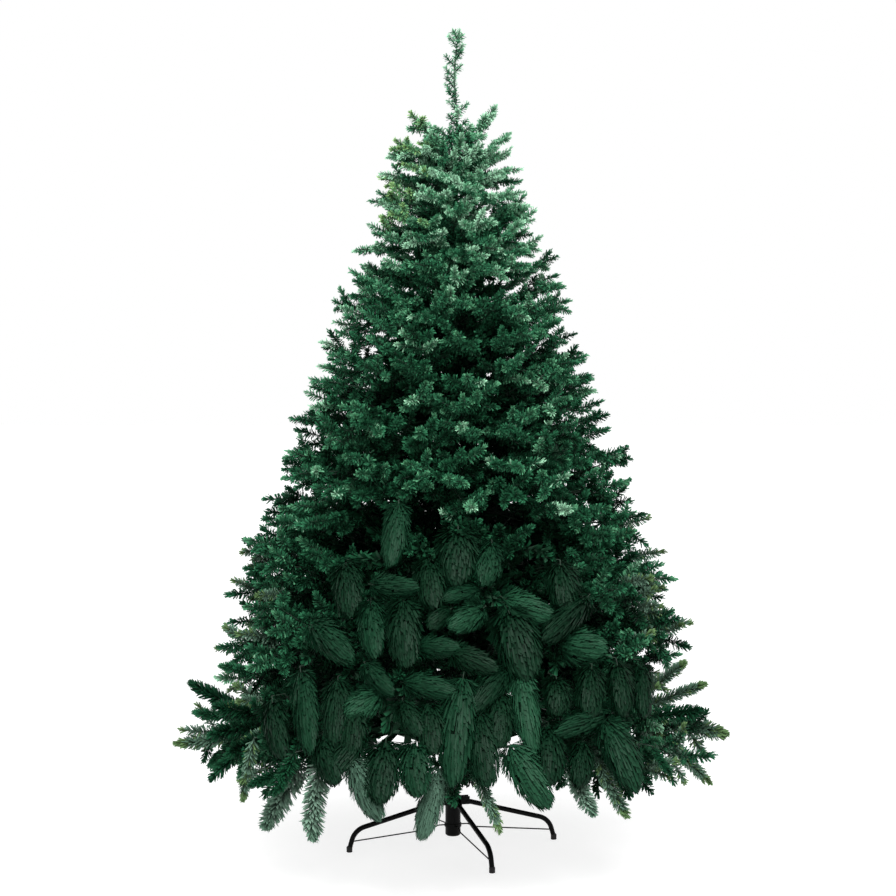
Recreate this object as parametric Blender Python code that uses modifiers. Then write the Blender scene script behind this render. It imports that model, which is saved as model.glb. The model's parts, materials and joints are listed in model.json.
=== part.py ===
# An artificial Christmas tree, 1.8 m tall: a steel pole in the socket of a four-leg folding stand, steel
# wire boughs, and branches of PVC needle sprays. Metres, +Z up, origin on the floor under the pole.

import math
import random

import bmesh
import bpy
from mathutils import Matrix, Quaternion, Vector

# Overall sizes
TREE_HEIGHT = 1.80
CROWN_REACH = 0.62  # furthest tips from the pole's axis
WIDEST_HEIGHT = 0.24  # where the crown is widest
CROWN_TAPER = 0.37  # reach lost for each metre above the widest height
HEM_TAPER = 0.50  # reach lost for each metre below it
HEM_HEIGHT = 0.108  # nothing green hangs lower
HEM_LIFTS = (0.035, 0.065)  # how much higher the hem is at the sides, and at the front and back
REST_GAP = 0.0003  # clearance between pieces that touch

# Pole
POLE_SECTIONS = ((0.0140, 0.64), (0.0125, 1.20), (0.0095, 1.52))  # radius, top of the section
POLE_BOTTOM = 0.0330
SLEEVE_HEIGHT = 0.045
SLEEVE_WALL = 0.0015
SLEEVE_MARGIN = 0.005  # a sleeve counts as this much longer at each end where something passes it
RING_WIDTH = 0.0050  # how far the welded branch ring stands out of the pole
RING_HEIGHT = 0.016
ROUND_SIDES = 16

# Stand
SOCKET_RADIUS = 0.0170
SOCKET_BORE = 0.0144
SOCKET_BOTTOM = 0.0240
SOCKET_TOP = 0.1120
HUB_RADIUS = 0.0195  # the band that carries the ears, at the socket's top
HUB_HEIGHT = 0.0200
HOOK_BAND_RADIUS = 0.0190  # the band that the brace wires hook on
HOOK_BAND_HEIGHT = 0.0080
BRACE_TOP = 0.0480
LEG_RADIUS = 0.0055
LEG_TURNS = (13.5, 110.5, 193.5, 290.5)  # degrees from +X, a little off square as the photo shows them
LEG_ROOT = (0.0270, 0.1005)  # distance from the axis, height
LEG_KNEE = (0.2225, 0.0480)
LEG_FOOT = (0.2360, 0.0)
KNEE_BEND = 0.040
SOCKET_EDGE = 0.0030  # the rounded foot of the socket's tube
LEG_OVERRUN = 0.2  # how far the tube runs past the foot before its flat cut, as a share of its last stretch
CAP_RADIUS = 0.0066
CAP_HEIGHT = 0.0130
CAP_EDGE = 0.0012
EAR_SIZE = (0.0200, 0.0022, 0.0180)  # along the leg, across it, height
EAR_REACH = 0.0370
EAR_DROP = 0.0010  # under the socket's top
RIVET_RADIUS = 0.0020
RIVET_HEAD = (0.0036, 0.0016)  # radius, thickness
RIVET_DOME = 0.7  # the head's outer end, as a share of its foot
RIVET_SINK = 0.0010  # how deep the head's foot is set in its ear
RIVET_AXIS = (0.0305, 0.0995)
SMALL_SIDES = 8
BRACE_RADIUS = 0.0015
BRACE_LOW = 0.0235
BRACE_CRANK = ((0.0520, 0.0400), (0.0470, 0.0410), (0.0360, 0.0470), (0.0310, BRACE_TOP))

# Crown
TIER_COUNTS = (8, 6, 5, 5, 4, 3, 3, 3)  # branches in each tier, from the floor up
TIER_FLOORS = (HEM_HEIGHT, 0.31, 0.49, 0.67, 0.85, 1.02, 1.19, 1.355, 1.545)  # at the pole, and the top
TIER_SLOPES = (0.0, 0.06, 0.12, 0.18, 0.25, 0.32, 0.40, 0.50, 0.90)  # rise of each floor for each metre out
LOWEST_ROOT = 0.215
LOWEST_TIP = WIDEST_HEIGHT + 0.012  # height of the lowest stems' own tips
BOUGH_END = 0.190  # boughs run bare from the pole to here
BOUGH_RADII = (0.0040, 0.0032)
STEM_RADII = (0.0032, 0.0018)
STEM_END = 0.7  # how far a stem's end lies behind the tip of its last spray, as a share of the spray
STEM_BARE = 0.006  # no twig stands nearer to the stem's root
TWIG_RADIUS = 0.0016
TWIG_END = 0.7  # a twig's end radius, as a share of its first
TWIG_BACK = 0.5  # how far back along the stem a twig's foot lies, as a share of its spray
TWIG_INSIDE = 0.4  # how far a twig runs up inside its spray
SPACE_MARGIN = 0.0015
POLE_MARGIN = 0.004
TIP_MARGIN = 0.002  # how far a stem's tip stays inside the crown's reach
LEADER_FOOT = 0.03  # the leader's room starts this far under the pole's top
FACE_STEPS = 8  # rounds that settle where a floor meets the crown's surface
GOLDEN_TURN = math.radians(137.5)
SPRAY_LENGTHS = (0.200, 0.105)  # in the lowest tier and in the top one
SPRAY_ROWS = 2  # in each tier's face
SPRAY_SPACING = (0.168, 0.118)  # between the sprays of a row, in the lowest tier and in the top one
SPRAY_SIDES = 5
SPRAY_RINGS = 3
SPRAY_OUTLINE = ((0.0, 0.0), (0.15, 0.50), (0.82, 1.0), (1.0, 0.0))  # along, width at each ring
NOTCH = 0.55  # how deep the spray's hollows lie, as a share of its radius
NEEDLE_LEAN = 0.05  # how far the spray's teeth lean on, as a share of its length
SPRAY_DEPTHS = (0.001, 0.034)  # how far the tips come short of the crown's reach
TIP_RADII = (0.046, 0.032)  # of the spray at each stem's own end
CORE_WIDTH = 0.94  # the dense heart of a mass, as a share of its wedge
CORE_THICKNESS = 0.92  # and of its tier
CORE_INSET = 0.62  # how far behind the crown's face it ends, as a share of a spray
CORE_CORNERS = (1.0, 1.0, 0.95, 0.84)  # how far out its face centres, edges and corners stand
CORE_WIDTHS = (0.90, 1.0)  # how unevenly it is cut across,
CORE_DEPTHS = (1.0, 1.25)  # in depth
CORE_HEIGHTS = (0.85, 1.0)  # and in height
CORE_GAPS = (0.012, 0.008)  # from the pole's rim, and from the bare bough's end
FAN_POINT = 2.1  # how far behind their tips the sprays' lines meet at the stem, in spray lengths
FAN_TRIES = 6  # a spray that doesn't fit is tried again, turned outward and slimmer each time
FAN_TURN = 0.18
FAN_SLIMMING = 0.05
PLACE_JITTER = 0.06  # how far a spray's place strays from even spacing, in spacings
SPRAY_TRIMS = (0.85, 1.0)  # spread of the sprays' lengths
SPRAY_FILL = 0.98  # the widest spray, as a share of the room at its place
WAVE_HEIGHT = 0.040  # every tier rises and falls this much round the pole
WAVES = 2
LEADER_RADIUS = 0.046
LEADER_SPRAY = 0.10
LEADER_WIDTH = 0.20  # its sprays' radius, as a share of their length
LEADER_MARGIN = 0.010
LEADER_TRIMS = (0.55, 0.80)
LEADER_SPREADS = (18, 30)  # degrees between the shoot and its side sprays
LEADER_STATIONS = 9
LEADER_OFFSET = 0.2  # the first station's height, in stations
LEADER_LEAN = 0.016  # how far the tip stands over to +X
LEADER_TOP = TREE_HEIGHT - 0.0005
LEADER_SEED = 77
MATCHED_SEED = 11  # of the lowest branches along X and Y


def clear_scene():
    for obj in list(bpy.data.objects):
        bpy.data.objects.remove(obj, do_unlink=True)


def paint(name, colour, roughness, metallic=0.0):
    material = bpy.data.materials.new(name)
    material.use_nodes = True
    surface = material.node_tree.nodes["Principled BSDF"]
    surface.inputs["Base Color"].default_value = (*colour, 1.0)
    surface.inputs["Roughness"].default_value = roughness
    surface.inputs["Metallic"].default_value = metallic
    return material


def new_collection(name, hidden=False):
    collection = bpy.data.collections.new(name)
    collection.hide_render = hidden
    bpy.context.scene.collection.children.link(collection)
    return collection


def add_mesh(name, shape, collection, material=None):
    """A bmesh as a named object. The bmesh is used up."""
    mesh = bpy.data.meshes.new(name)
    shape.to_mesh(mesh)
    shape.free()
    obj = bpy.data.objects.new(name, mesh)
    if material:
        mesh.materials.append(material)
    collection.objects.link(obj)
    return obj


def out_from_axis(turn, distance, height):
    """The point at this distance from the pole's axis, turned from +X by radians."""
    return Vector((math.cos(turn) * distance, math.sin(turn) * distance, height))


def aimed(origin, direction, roll=0.0):
    """The matrix that puts +Z along the direction, from the origin, rolled about it."""
    turn = Vector(direction).to_track_quat("Z", "Y") @ Quaternion((0, 0, 1), roll)
    return Matrix.Translation(origin) @ turn.to_matrix().to_4x4()


def cone_between(start, end, start_radius, end_radius, sides, roll=0.0):
    """A tapering bar with flat ends, as a bmesh."""
    shape = bmesh.new()
    length = (end - start).length
    bmesh.ops.create_cone(
        shape, cap_ends=True, segments=sides, radius1=start_radius, radius2=end_radius, depth=length
    )
    bmesh.ops.translate(shape, verts=shape.verts, vec=(0, 0, length / 2))
    bmesh.ops.transform(shape, verts=shape.verts, matrix=aimed(start, end - start, roll))
    return shape


def turned(name, profile, collection, material):
    """A profile of (radius, height) points, spun round Z."""
    mesh = bpy.data.meshes.new(name)
    points = [(radius, 0.0, height) for radius, height in profile]
    mesh.from_pydata(points, [(i, i + 1) for i in range(len(points) - 1)], [])
    mesh.materials.append(material)
    obj = bpy.data.objects.new(name, mesh)
    collection.objects.link(obj)
    screw = obj.modifiers.new("turned", "SCREW")
    screw.axis = "Z"
    screw.steps = ROUND_SIDES
    screw.render_steps = ROUND_SIDES
    screw.use_merge_vertices = True
    screw.merge_threshold = 0.00001
    screw.use_smooth_shade = False
    return obj


def apply_modifiers(obj):
    """Gives the object its evaluated mesh, so that nothing is left live on it."""
    graph = bpy.context.evaluated_depsgraph_get()
    finished = bpy.data.meshes.new_from_object(obj.evaluated_get(graph))
    obj.modifiers.clear()
    obj.data = finished


def bar_along(name, points, radius, collection, material, resolution=2):
    """A round bar along a line of points, made a closed mesh."""
    curve = bpy.data.curves.new(name, "CURVE")
    curve.dimensions = "3D"
    curve.bevel_depth = radius
    curve.bevel_resolution = resolution
    curve.use_fill_caps = True
    spline = curve.splines.new("POLY")
    spline.points.add(len(points) - 1)
    for spline_point, point in zip(spline.points, points):
        spline_point.co = (*point, 1.0)
    guide = bpy.data.objects.new(name + "_line", curve)
    collection.objects.link(guide)
    bpy.context.view_layer.update()
    graph = bpy.context.evaluated_depsgraph_get()
    shape = bmesh.new()
    shape.from_mesh(bpy.data.meshes.new_from_object(guide.evaluated_get(graph)))
    bpy.data.objects.remove(guide, do_unlink=True)
    bmesh.ops.remove_doubles(shape, verts=shape.verts, dist=0.00001)
    bmesh.ops.recalc_face_normals(shape, faces=shape.faces)
    return add_mesh(name, shape, collection, material)


def boolean(obj, operation, other=None, collection=None, solver="EXACT"):
    modifier = obj.modifiers.new(operation.lower(), "BOOLEAN")
    modifier.operation = operation
    modifier.solver = solver
    if collection:
        modifier.operand_type = "COLLECTION"
        modifier.collection = collection
    else:
        modifier.object = other
    return modifier


def rounded_corner(before, corner, after, radius, steps):
    """Points of the arc that rounds the corner of a line."""
    inward = (before - corner).normalized()
    onward = (after - corner).normalized()
    half = inward.angle(onward) / 2
    centre = corner + (inward + onward).normalized() * radius / math.sin(half)
    start = corner + inward * radius / math.tan(half) - centre
    end = corner + onward * radius / math.tan(half) - centre
    sweep = start.rotation_difference(end)
    return [centre + Quaternion(sweep.axis, sweep.angle * i / steps) @ start for i in range(steps + 1)]


# The stand


def build_pole(collection, material):
    """Three steel tubes, each with a swaged sleeve over the next, and a welded ring for the lowest boughs."""
    ring_low, ring_high = LOWEST_ROOT - RING_HEIGHT / 2, LOWEST_ROOT + RING_HEIGHT / 2
    profile = [(0.0, POLE_SECTIONS[-1][1])]
    for index in reversed(range(len(POLE_SECTIONS))):
        radius, top = POLE_SECTIONS[index]
        if index < len(POLE_SECTIONS) - 1:
            sleeve = radius + SLEEVE_WALL
            profile += [(sleeve, top), (sleeve, top - SLEEVE_HEIGHT)]
            profile += [(radius, top - SLEEVE_HEIGHT - SLEEVE_WALL)]
        else:
            profile += [(radius, top)]
        bottom = POLE_SECTIONS[index - 1][1] if index else POLE_BOTTOM
        if index == 0:
            profile += [(radius, ring_high), (radius + RING_WIDTH, ring_high)]
            profile += [(radius + RING_WIDTH, ring_low), (radius, ring_low)]
        profile += [(radius, bottom)]
    profile += [(0.0, POLE_BOTTOM)]
    pole = turned("pole", profile, collection, material)
    apply_modifiers(pole)
    return pole


def pole_radius(height):
    """How far the pole reaches from its axis at this height, a sleeve counted a little past its ends."""
    for radius, top in POLE_SECTIONS:
        if height <= top + SLEEVE_MARGIN:
            sleeved = height > top - SLEEVE_HEIGHT - SLEEVE_MARGIN and top < POLE_SECTIONS[-1][1]
            return radius + SLEEVE_WALL if sleeved else radius
    return POLE_SECTIONS[-1][0]


def build_socket(collection, material):
    """The tube that the pole stands in, with a hub band, a hook band and riveted ears for each leg."""
    hub_low = SOCKET_TOP - HUB_HEIGHT
    hook_low = BRACE_TOP - HOOK_BAND_HEIGHT / 2
    hook_high = BRACE_TOP + HOOK_BAND_HEIGHT / 2
    socket_floor = POLE_BOTTOM - REST_GAP
    profile = [
        (0.0, socket_floor),
        (SOCKET_BORE, socket_floor),
        (SOCKET_BORE, SOCKET_TOP),
        (HUB_RADIUS, SOCKET_TOP),
        (HUB_RADIUS, hub_low),
        (SOCKET_RADIUS, hub_low),
        (SOCKET_RADIUS, hook_high),
        (HOOK_BAND_RADIUS, hook_high),
        (HOOK_BAND_RADIUS, hook_low),
        (SOCKET_RADIUS, hook_low),
        (SOCKET_RADIUS, SOCKET_BOTTOM + SOCKET_EDGE),
        (SOCKET_RADIUS - SOCKET_EDGE, SOCKET_BOTTOM),
        (0.0, SOCKET_BOTTOM),
    ]
    socket = turned("stand_socket", profile, collection, material)
    apply_modifiers(socket)
    ears = new_collection("ears", hidden=True)
    along, across, high = EAR_SIZE
    head_radius, head_thickness = RIVET_HEAD
    rivet_distance, rivet_height = RIVET_AXIS
    side = LEG_RADIUS + REST_GAP + across / 2
    head_end = side + across / 2 + head_thickness
    head_foot = head_end - head_thickness - RIVET_SINK
    for number, degrees in enumerate(LEG_TURNS):
        turn = Matrix.Rotation(math.radians(degrees), 4, "Z")
        for hand in (-1, 1):
            ear = bmesh.new()
            bmesh.ops.create_cube(ear, size=1.0)
            bmesh.ops.scale(ear, verts=ear.verts, vec=EAR_SIZE)
            place = Vector((EAR_REACH - along / 2, hand * side, SOCKET_TOP - EAR_DROP - high / 2))
            bmesh.ops.translate(ear, verts=ear.verts, vec=place)
            bmesh.ops.transform(ear, verts=ear.verts, matrix=turn)
            add_mesh(f"ear_{number}_{hand}", ear, ears)
            head_from = turn @ Vector((rivet_distance, hand * head_foot, rivet_height))
            head_to = turn @ Vector((rivet_distance, hand * head_end, rivet_height))
            head = cone_between(head_from, head_to, head_radius, head_radius * RIVET_DOME, SMALL_SIDES)
            add_mesh(f"rivet_head_{number}_{hand}", head, ears)
        pin_from = turn @ Vector((rivet_distance, -side, rivet_height))
        pin_to = turn @ Vector((rivet_distance, side, rivet_height))
        pin = cone_between(pin_from, pin_to, RIVET_RADIUS, RIVET_RADIUS, SMALL_SIDES)
        add_mesh(f"rivet_{number}", pin, ears)
    fuse(socket, ears)
    return socket


def leg_line():
    """The leg's centre line as (distance from the axis, height) vectors, with the knee rounded."""
    root, knee, foot = Vector((*LEG_ROOT, 0)), Vector((*LEG_KNEE, 0)), Vector((*LEG_FOOT, 0))
    past_foot = foot + (foot - knee) * LEG_OVERRUN
    return [root, *rounded_corner(root, knee, foot, KNEE_BEND, 6), past_foot]


def build_leg(number, degrees, collection, cutters, material):
    """A bent tube from the ears to its cap: cut flat over the cap, and drilled for its rivet."""
    turn = math.radians(degrees)
    points = [out_from_axis(turn, point.x, point.y) for point in leg_line()]
    leg = bar_along(f"stand_leg_{number}", points, LEG_RADIUS, collection, material, resolution=3)
    shape = bmesh.new()
    shape.from_mesh(leg.data)
    cut = bmesh.ops.bisect_plane(
        shape,
        geom=[*shape.verts, *shape.edges, *shape.faces],
        plane_co=(0, 0, CAP_HEIGHT + REST_GAP),
        plane_no=(0, 0, -1),
        clear_outer=True,
    )
    rim = [item for item in cut["geom_cut"] if isinstance(item, bmesh.types.BMEdge)]
    bmesh.ops.contextual_create(shape, geom=rim)
    bmesh.ops.recalc_face_normals(shape, faces=shape.faces)
    shape.to_mesh(leg.data)
    shape.free()
    across = Vector((-math.sin(turn), math.cos(turn), 0)) * LEG_RADIUS * 1.5  # well past the tube's sides
    rivet = out_from_axis(turn, *RIVET_AXIS)
    bore = RIVET_RADIUS + REST_GAP
    drill = cone_between(rivet - across, rivet + across, bore, bore, SMALL_SIDES)
    cutter = add_mesh(f"rivet_drill_{number}", drill, cutters)
    cutter.display_type = "WIRE"
    cutter.hide_render = True
    boolean(leg, "DIFFERENCE", cutter)
    apply_modifiers(leg)
    return leg


def leg_distance(height):
    """How far the leg's straight lower part is from the pole's axis at this height."""
    share = (height - LEG_FOOT[1]) / (LEG_KNEE[1] - LEG_FOOT[1])
    return LEG_FOOT[0] + (LEG_KNEE[0] - LEG_FOOT[0]) * share


def build_foot_cap(number, degrees, collection, material):
    """The rubber cap that the leg stands on, with a rounded upper edge."""
    foot = out_from_axis(math.radians(degrees), leg_distance(CAP_HEIGHT / 2), 0.0)
    shape = cone_between(foot, foot + Vector((0, 0, CAP_HEIGHT)), CAP_RADIUS, CAP_RADIUS, 12)
    upper = [edge for edge in shape.edges if all(v.co.z > CAP_HEIGHT / 2 for v in edge.verts)]
    bmesh.ops.bevel(shape, geom=upper, offset=CAP_EDGE, segments=1, affect="EDGES")
    return add_mesh(f"foot_cap_{number}", shape, collection, material)


def build_brace(number, degrees, collection, material):
    """The wire from low on the leg to the hook band, cranked up just before the band."""
    turn = math.radians(degrees)
    lean = math.atan2(LEG_FOOT[0] - LEG_KNEE[0], LEG_KNEE[1] - LEG_FOOT[1])
    at_leg = leg_distance(BRACE_LOW + BRACE_RADIUS) - LEG_RADIUS / math.cos(lean) - REST_GAP
    line = [(at_leg, BRACE_LOW), *BRACE_CRANK, (HOOK_BAND_RADIUS + REST_GAP, BRACE_TOP)]
    points = [out_from_axis(turn, *place) for place in line]
    return bar_along(f"stand_brace_{number}", points, BRACE_RADIUS, collection, material)


# The crown


def crown_reach(height):
    """How far from the axis the tips come at this height."""
    if height < WIDEST_HEIGHT:
        return CROWN_REACH - (WIDEST_HEIGHT - height) * HEM_TAPER
    return CROWN_REACH - (height - WIDEST_HEIGHT) * CROWN_TAPER


def wave(turn):
    """How much the tiers rise at this turn round the pole."""
    return WAVE_HEIGHT * math.sin(WAVES * turn)


def hem(turn):
    """How low the crown hangs: lowest at the diagonals, lifted a little at the sides and more in front."""
    side, front = HEM_LIFTS
    return HEM_HEIGHT + side * math.cos(turn) ** 8 + front * math.sin(turn) ** 8


class Space:
    """The room that one branch keeps to: a wedge of the crown between two tier floors."""

    def __init__(self, tier, turn, half_wedge):
        self.turn = turn
        self.half_wedge = half_wedge
        self.low = (TIER_FLOORS[tier], TIER_SLOPES[tier])
        self.high = (TIER_FLOORS[tier + 1], TIER_SLOPES[tier + 1])
        self.bare = BOUGH_END if tier == 0 else 0.0
        self.hangs = tier == 0  # its floor is the hem

    def floor_at(self, distance, turn):
        return hem(turn) if self.hangs else self.low[0] + self.low[1] * distance + wave(turn)

    def roof_at(self, distance, turn):
        return self.high[0] + self.high[1] * distance + wave(turn)

    def middle(self, distance, turn):
        """The height half-way between the two floors."""
        return (self.floor_at(distance, turn) + self.roof_at(distance, turn)) / 2

    def face(self, turn):
        """The lowest and highest points of the crown's face at this turn, as heights."""
        heights = []
        for level_at in (self.floor_at, self.roof_at):
            height = level_at(CROWN_REACH, turn)
            for _ in range(FACE_STEPS):
                height = level_at(crown_reach(height), turn)
            heights.append(height)
        return heights

    def holds(self, point):
        distance = math.hypot(point.x, point.y)
        turn = math.atan2(point.y, point.x)
        core = pole_radius(point.z) + POLE_MARGIN
        if point.z > POLE_SECTIONS[-1][1] - LEADER_FOOT:
            core = LEADER_RADIUS
        if distance < max(self.bare, core) + SPACE_MARGIN or distance > crown_reach(point.z):
            return False
        if point.z < self.floor_at(distance, turn) + SPACE_MARGIN:
            return False
        if point.z > self.roof_at(distance, turn) - SPACE_MARGIN:
            return False
        off = (turn - self.turn + math.pi) % math.tau - math.pi
        return abs(off) < self.half_wedge and distance * math.sin(self.half_wedge - abs(off)) > SPACE_MARGIN


class LeaderSpace:
    """The upright room round the top shoot."""

    def holds(self, point):
        off = math.hypot(point.x - LEADER_LEAN / 2, point.y)
        return off < LEADER_RADIUS - LEADER_MARGIN and point.z < TREE_HEIGHT


def spray_shape(root, direction, length, radius, roll):
    """A blunt spindle of needles: a drawn-out sphere, every other point notched in, the rest leaning on."""
    shape = bmesh.new()
    bmesh.ops.create_uvsphere(shape, u_segments=SPRAY_SIDES, v_segments=SPRAY_RINGS, radius=1.0)
    for point in shape.verts:
        ring = round(math.acos(max(-1.0, min(1.0, -point.co.z))) / math.pi * SPRAY_RINGS)
        angle = math.atan2(point.co.y, point.co.x)
        along, width = SPRAY_OUTLINE[ring]
        tooth = (ring + round(angle / math.tau * SPRAY_SIDES)) % 2 == 0
        if tooth and 0 < ring < SPRAY_RINGS:
            along += NEEDLE_LEAN
        reach = radius * width * (1.0 if tooth else NOTCH)
        point.co = Vector((math.cos(angle) * reach, math.sin(angle) * reach, along * length))
    bmesh.ops.transform(shape, verts=shape.verts, matrix=aimed(root, direction, roll))
    return shape


def core_shape(space, nearest, inset, rng):
    """The dense heart of a mass: a rough block bent round the pole into the space's wedge."""
    shape = bmesh.new()
    bmesh.ops.create_cube(shape, size=2.0)
    bmesh.ops.subdivide_edges(shape, edges=shape.edges, cuts=1, use_grid_fill=True)
    for point in shape.verts:
        sides_met = sum(abs(share) > 0.5 for share in point.co)
        outward, across, upward = point.co * CORE_CORNERS[sides_met]
        turn = space.turn + space.half_wedge * CORE_WIDTH * across * rng.uniform(*CORE_WIDTHS)
        low, high = space.face(turn)
        face_reach = crown_reach((low + high) / 2 + (high - low) / 2 * upward)
        furthest = face_reach - inset * rng.uniform(*CORE_DEPTHS)
        distance = nearest + (furthest - nearest) * (outward + 1) / 2
        thickness = space.roof_at(distance, turn) - space.floor_at(distance, turn)
        rise = CORE_THICKNESS * upward * rng.uniform(*CORE_HEIGHTS) / 2
        point.co = out_from_axis(turn, distance, space.middle(distance, turn) + thickness * rise)
    bmesh.ops.triangulate(shape, faces=shape.faces)
    return shape


class Branch:
    """One mass of foliage: a stem, a dense core, twigs and their sprays. What leaves its space is skipped."""

    def __init__(self, name, space, stem_from, stem_to, seed):
        self.name = name
        self.space = space
        self.stem_from = stem_from
        self.stem_to = stem_to
        self.rng = random.Random(seed)
        self.pieces = []

    def stem_point(self, beside, back):
        """The point of the stem this far behind the place beside it."""
        stem = self.stem_to - self.stem_from
        along = (beside - self.stem_from).dot(stem) / stem.length - back
        return self.stem_from + stem.normalized() * max(STEM_BARE, min(along, stem.length))

    def add_spray(self, tip, direction, length, radius, twig=True):
        """A spray that ends at the tip, on a twig from the stem, if it keeps to the space."""
        root = tip - direction * length
        shape = spray_shape(root, direction, length, radius, self.rng.uniform(0, math.tau))
        if not all(self.space.holds(point.co) for point in shape.verts):
            shape.free()
            return False
        self.pieces.append(shape)
        if twig:
            foot = self.stem_point(root, length * TWIG_BACK)
            spray_heart = root + direction * length * TWIG_INSIDE
            self.pieces.append(cone_between(foot, spray_heart, TWIG_RADIUS, TWIG_RADIUS * TWIG_END, 3))
        return True

    def reach_for(self, target, length, radius):
        """A spray at this place of the crown's face, fanned out from the stem as far as it fits."""
        fanned = (target - self.stem_point(target, length * FAN_POINT)).normalized()
        outward = Vector((target.x, target.y, 0)).normalized()
        outward.z = self.space.low[1]
        for attempt in range(FAN_TRIES):
            direction = fanned.lerp(outward.normalized(), FAN_TURN * attempt).normalized()
            if self.add_spray(target, direction, length, radius * (1.0 - FAN_SLIMMING * attempt), twig=False):
                return True
        return False

    def build(self, collection, material):
        """Joins the stem and all that stands on it in one Boolean union."""
        stem = cone_between(self.stem_from, self.stem_to, *STEM_RADII, 5)
        mass = add_mesh(self.name, stem, collection, material)
        loose = new_collection(self.name + "_pieces", hidden=True)
        for number, shape in enumerate(self.pieces):
            add_mesh(f"{self.name}_piece_{number}", shape, loose)
        fuse(mass, loose, solver="MANIFOLD")
        return mass


def fuse(obj, loose, solver="EXACT"):
    """Unites the object with all that is in a collection, which is removed, and drops any scrap or hollow."""
    boolean(obj, "UNION", collection=loose, solver=solver)
    bpy.context.view_layer.update()
    apply_modifiers(obj)
    for piece in list(loose.objects):
        bpy.data.objects.remove(piece, do_unlink=True)
    bpy.data.collections.remove(loose)
    keep_largest_shell(obj)


def keep_largest_shell(obj):
    """Drops the loose scraps and sealed hollows that a union can leave."""
    shape = bmesh.new()
    shape.from_mesh(obj.data)
    shells = []
    waiting = set(shape.faces)
    while waiting:
        shell = []
        reached = [waiting.pop()]
        while reached:
            face = reached.pop()
            shell.append(face)
            for edge in face.edges:
                if len(edge.link_faces) != 2:
                    continue
                for other in edge.link_faces:
                    if other in waiting:
                        waiting.remove(other)
                        reached.append(other)
        shells.append(shell)
    largest = max(shells, key=len)
    spare = [face for shell in shells if shell is not largest for face in shell]
    bmesh.ops.delete(shape, geom=spare, context="FACES")
    shape.to_mesh(obj.data)
    shape.free()


def by_tier(sizes, tier):
    """A size that goes evenly from the lowest tier's to the top one's."""
    return sizes[0] + (sizes[1] - sizes[0]) * tier / (len(TIER_COUNTS) - 1)


def face_targets(space, spacing, rng):
    """Evenly spread places on the crown's face where the sprays' tips come, each with its room there."""
    low, high = space.face(space.turn)
    for row in range(SPRAY_ROWS):
        width = 2 * space.half_wedge * crown_reach(low + (high - low) * (row + 0.5) / SPRAY_ROWS)
        columns = max(1, round(width / spacing))
        room = min((high - low) / SPRAY_ROWS, width / columns) / 2
        for column in range(columns):
            share = (column + 0.5 + rng.uniform(-PLACE_JITTER, PLACE_JITTER)) / columns * 2 - 1
            turn = space.turn + share * space.half_wedge
            low_here, high_here = space.face(turn)
            height = low_here + (high_here - low_here) * (row + 0.5) / SPRAY_ROWS
            yield out_from_axis(turn, crown_reach(height) - rng.uniform(*SPRAY_DEPTHS), height), room


def build_bough(number, axis_point, heading, rim, collection, material):
    """The bare steel wire from the pole's ring to its mass. Its end is returned."""
    level = math.hypot(heading.x, heading.y)
    bough_from = axis_point + heading * (rim + BOUGH_RADII[0] * heading.z) / level
    bough_to = axis_point + heading * BOUGH_END / level
    add_mesh(f"bough_{number}", cone_between(bough_from, bough_to, *BOUGH_RADII, 8), collection, material)
    return bough_to


def build_branch(tier, number, count, first_turn, seed, collection, wire_material, needle_material):
    turn = first_turn + math.tau * number / count
    space = Space(tier, turn, math.pi / count)
    length = by_tier(SPRAY_LENGTHS, tier)
    root_height = LOWEST_ROOT if tier == 0 else space.middle(0.0, turn)
    tip_height = LOWEST_TIP if tier == 0 else sum(space.face(turn)) / 2
    tip = out_from_axis(turn, crown_reach(tip_height) - TIP_MARGIN, tip_height)
    axis_point = out_from_axis(turn, 0, root_height)
    heading = (tip - axis_point).normalized()
    level = math.hypot(heading.x, heading.y)
    rim = pole_radius(root_height) + (RING_WIDTH if tier == 0 else 0.0) + REST_GAP
    if tier == 0:
        bough_to = build_bough(number + 1, axis_point, heading, rim, collection, wire_material)
        stem_from = bough_to + heading * REST_GAP
    else:
        stem_from = axis_point + heading * (rim + STEM_RADII[0] * heading.z) / level
    name = f"foliage_tier{tier + 1}_{number + 1}"
    branch = Branch(name, space, stem_from, tip - heading * length * STEM_END, seed)
    nearest = rim + CORE_GAPS[0]
    if tier == 0:
        nearest = BOUGH_END + CORE_GAPS[1]
    elif tier == len(TIER_COUNTS) - 1:
        nearest = LEADER_RADIUS
    branch.pieces.append(core_shape(space, nearest, length * CORE_INSET, branch.rng))
    branch.add_spray(tip, heading, length, by_tier(TIP_RADII, tier))
    for target, room in face_targets(space, by_tier(SPRAY_SPACING, tier), branch.rng):
        if (target - tip).length > room:
            branch.reach_for(target, length * branch.rng.uniform(*SPRAY_TRIMS), room * SPRAY_FILL)
    return branch.build(collection, needle_material)


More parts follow.
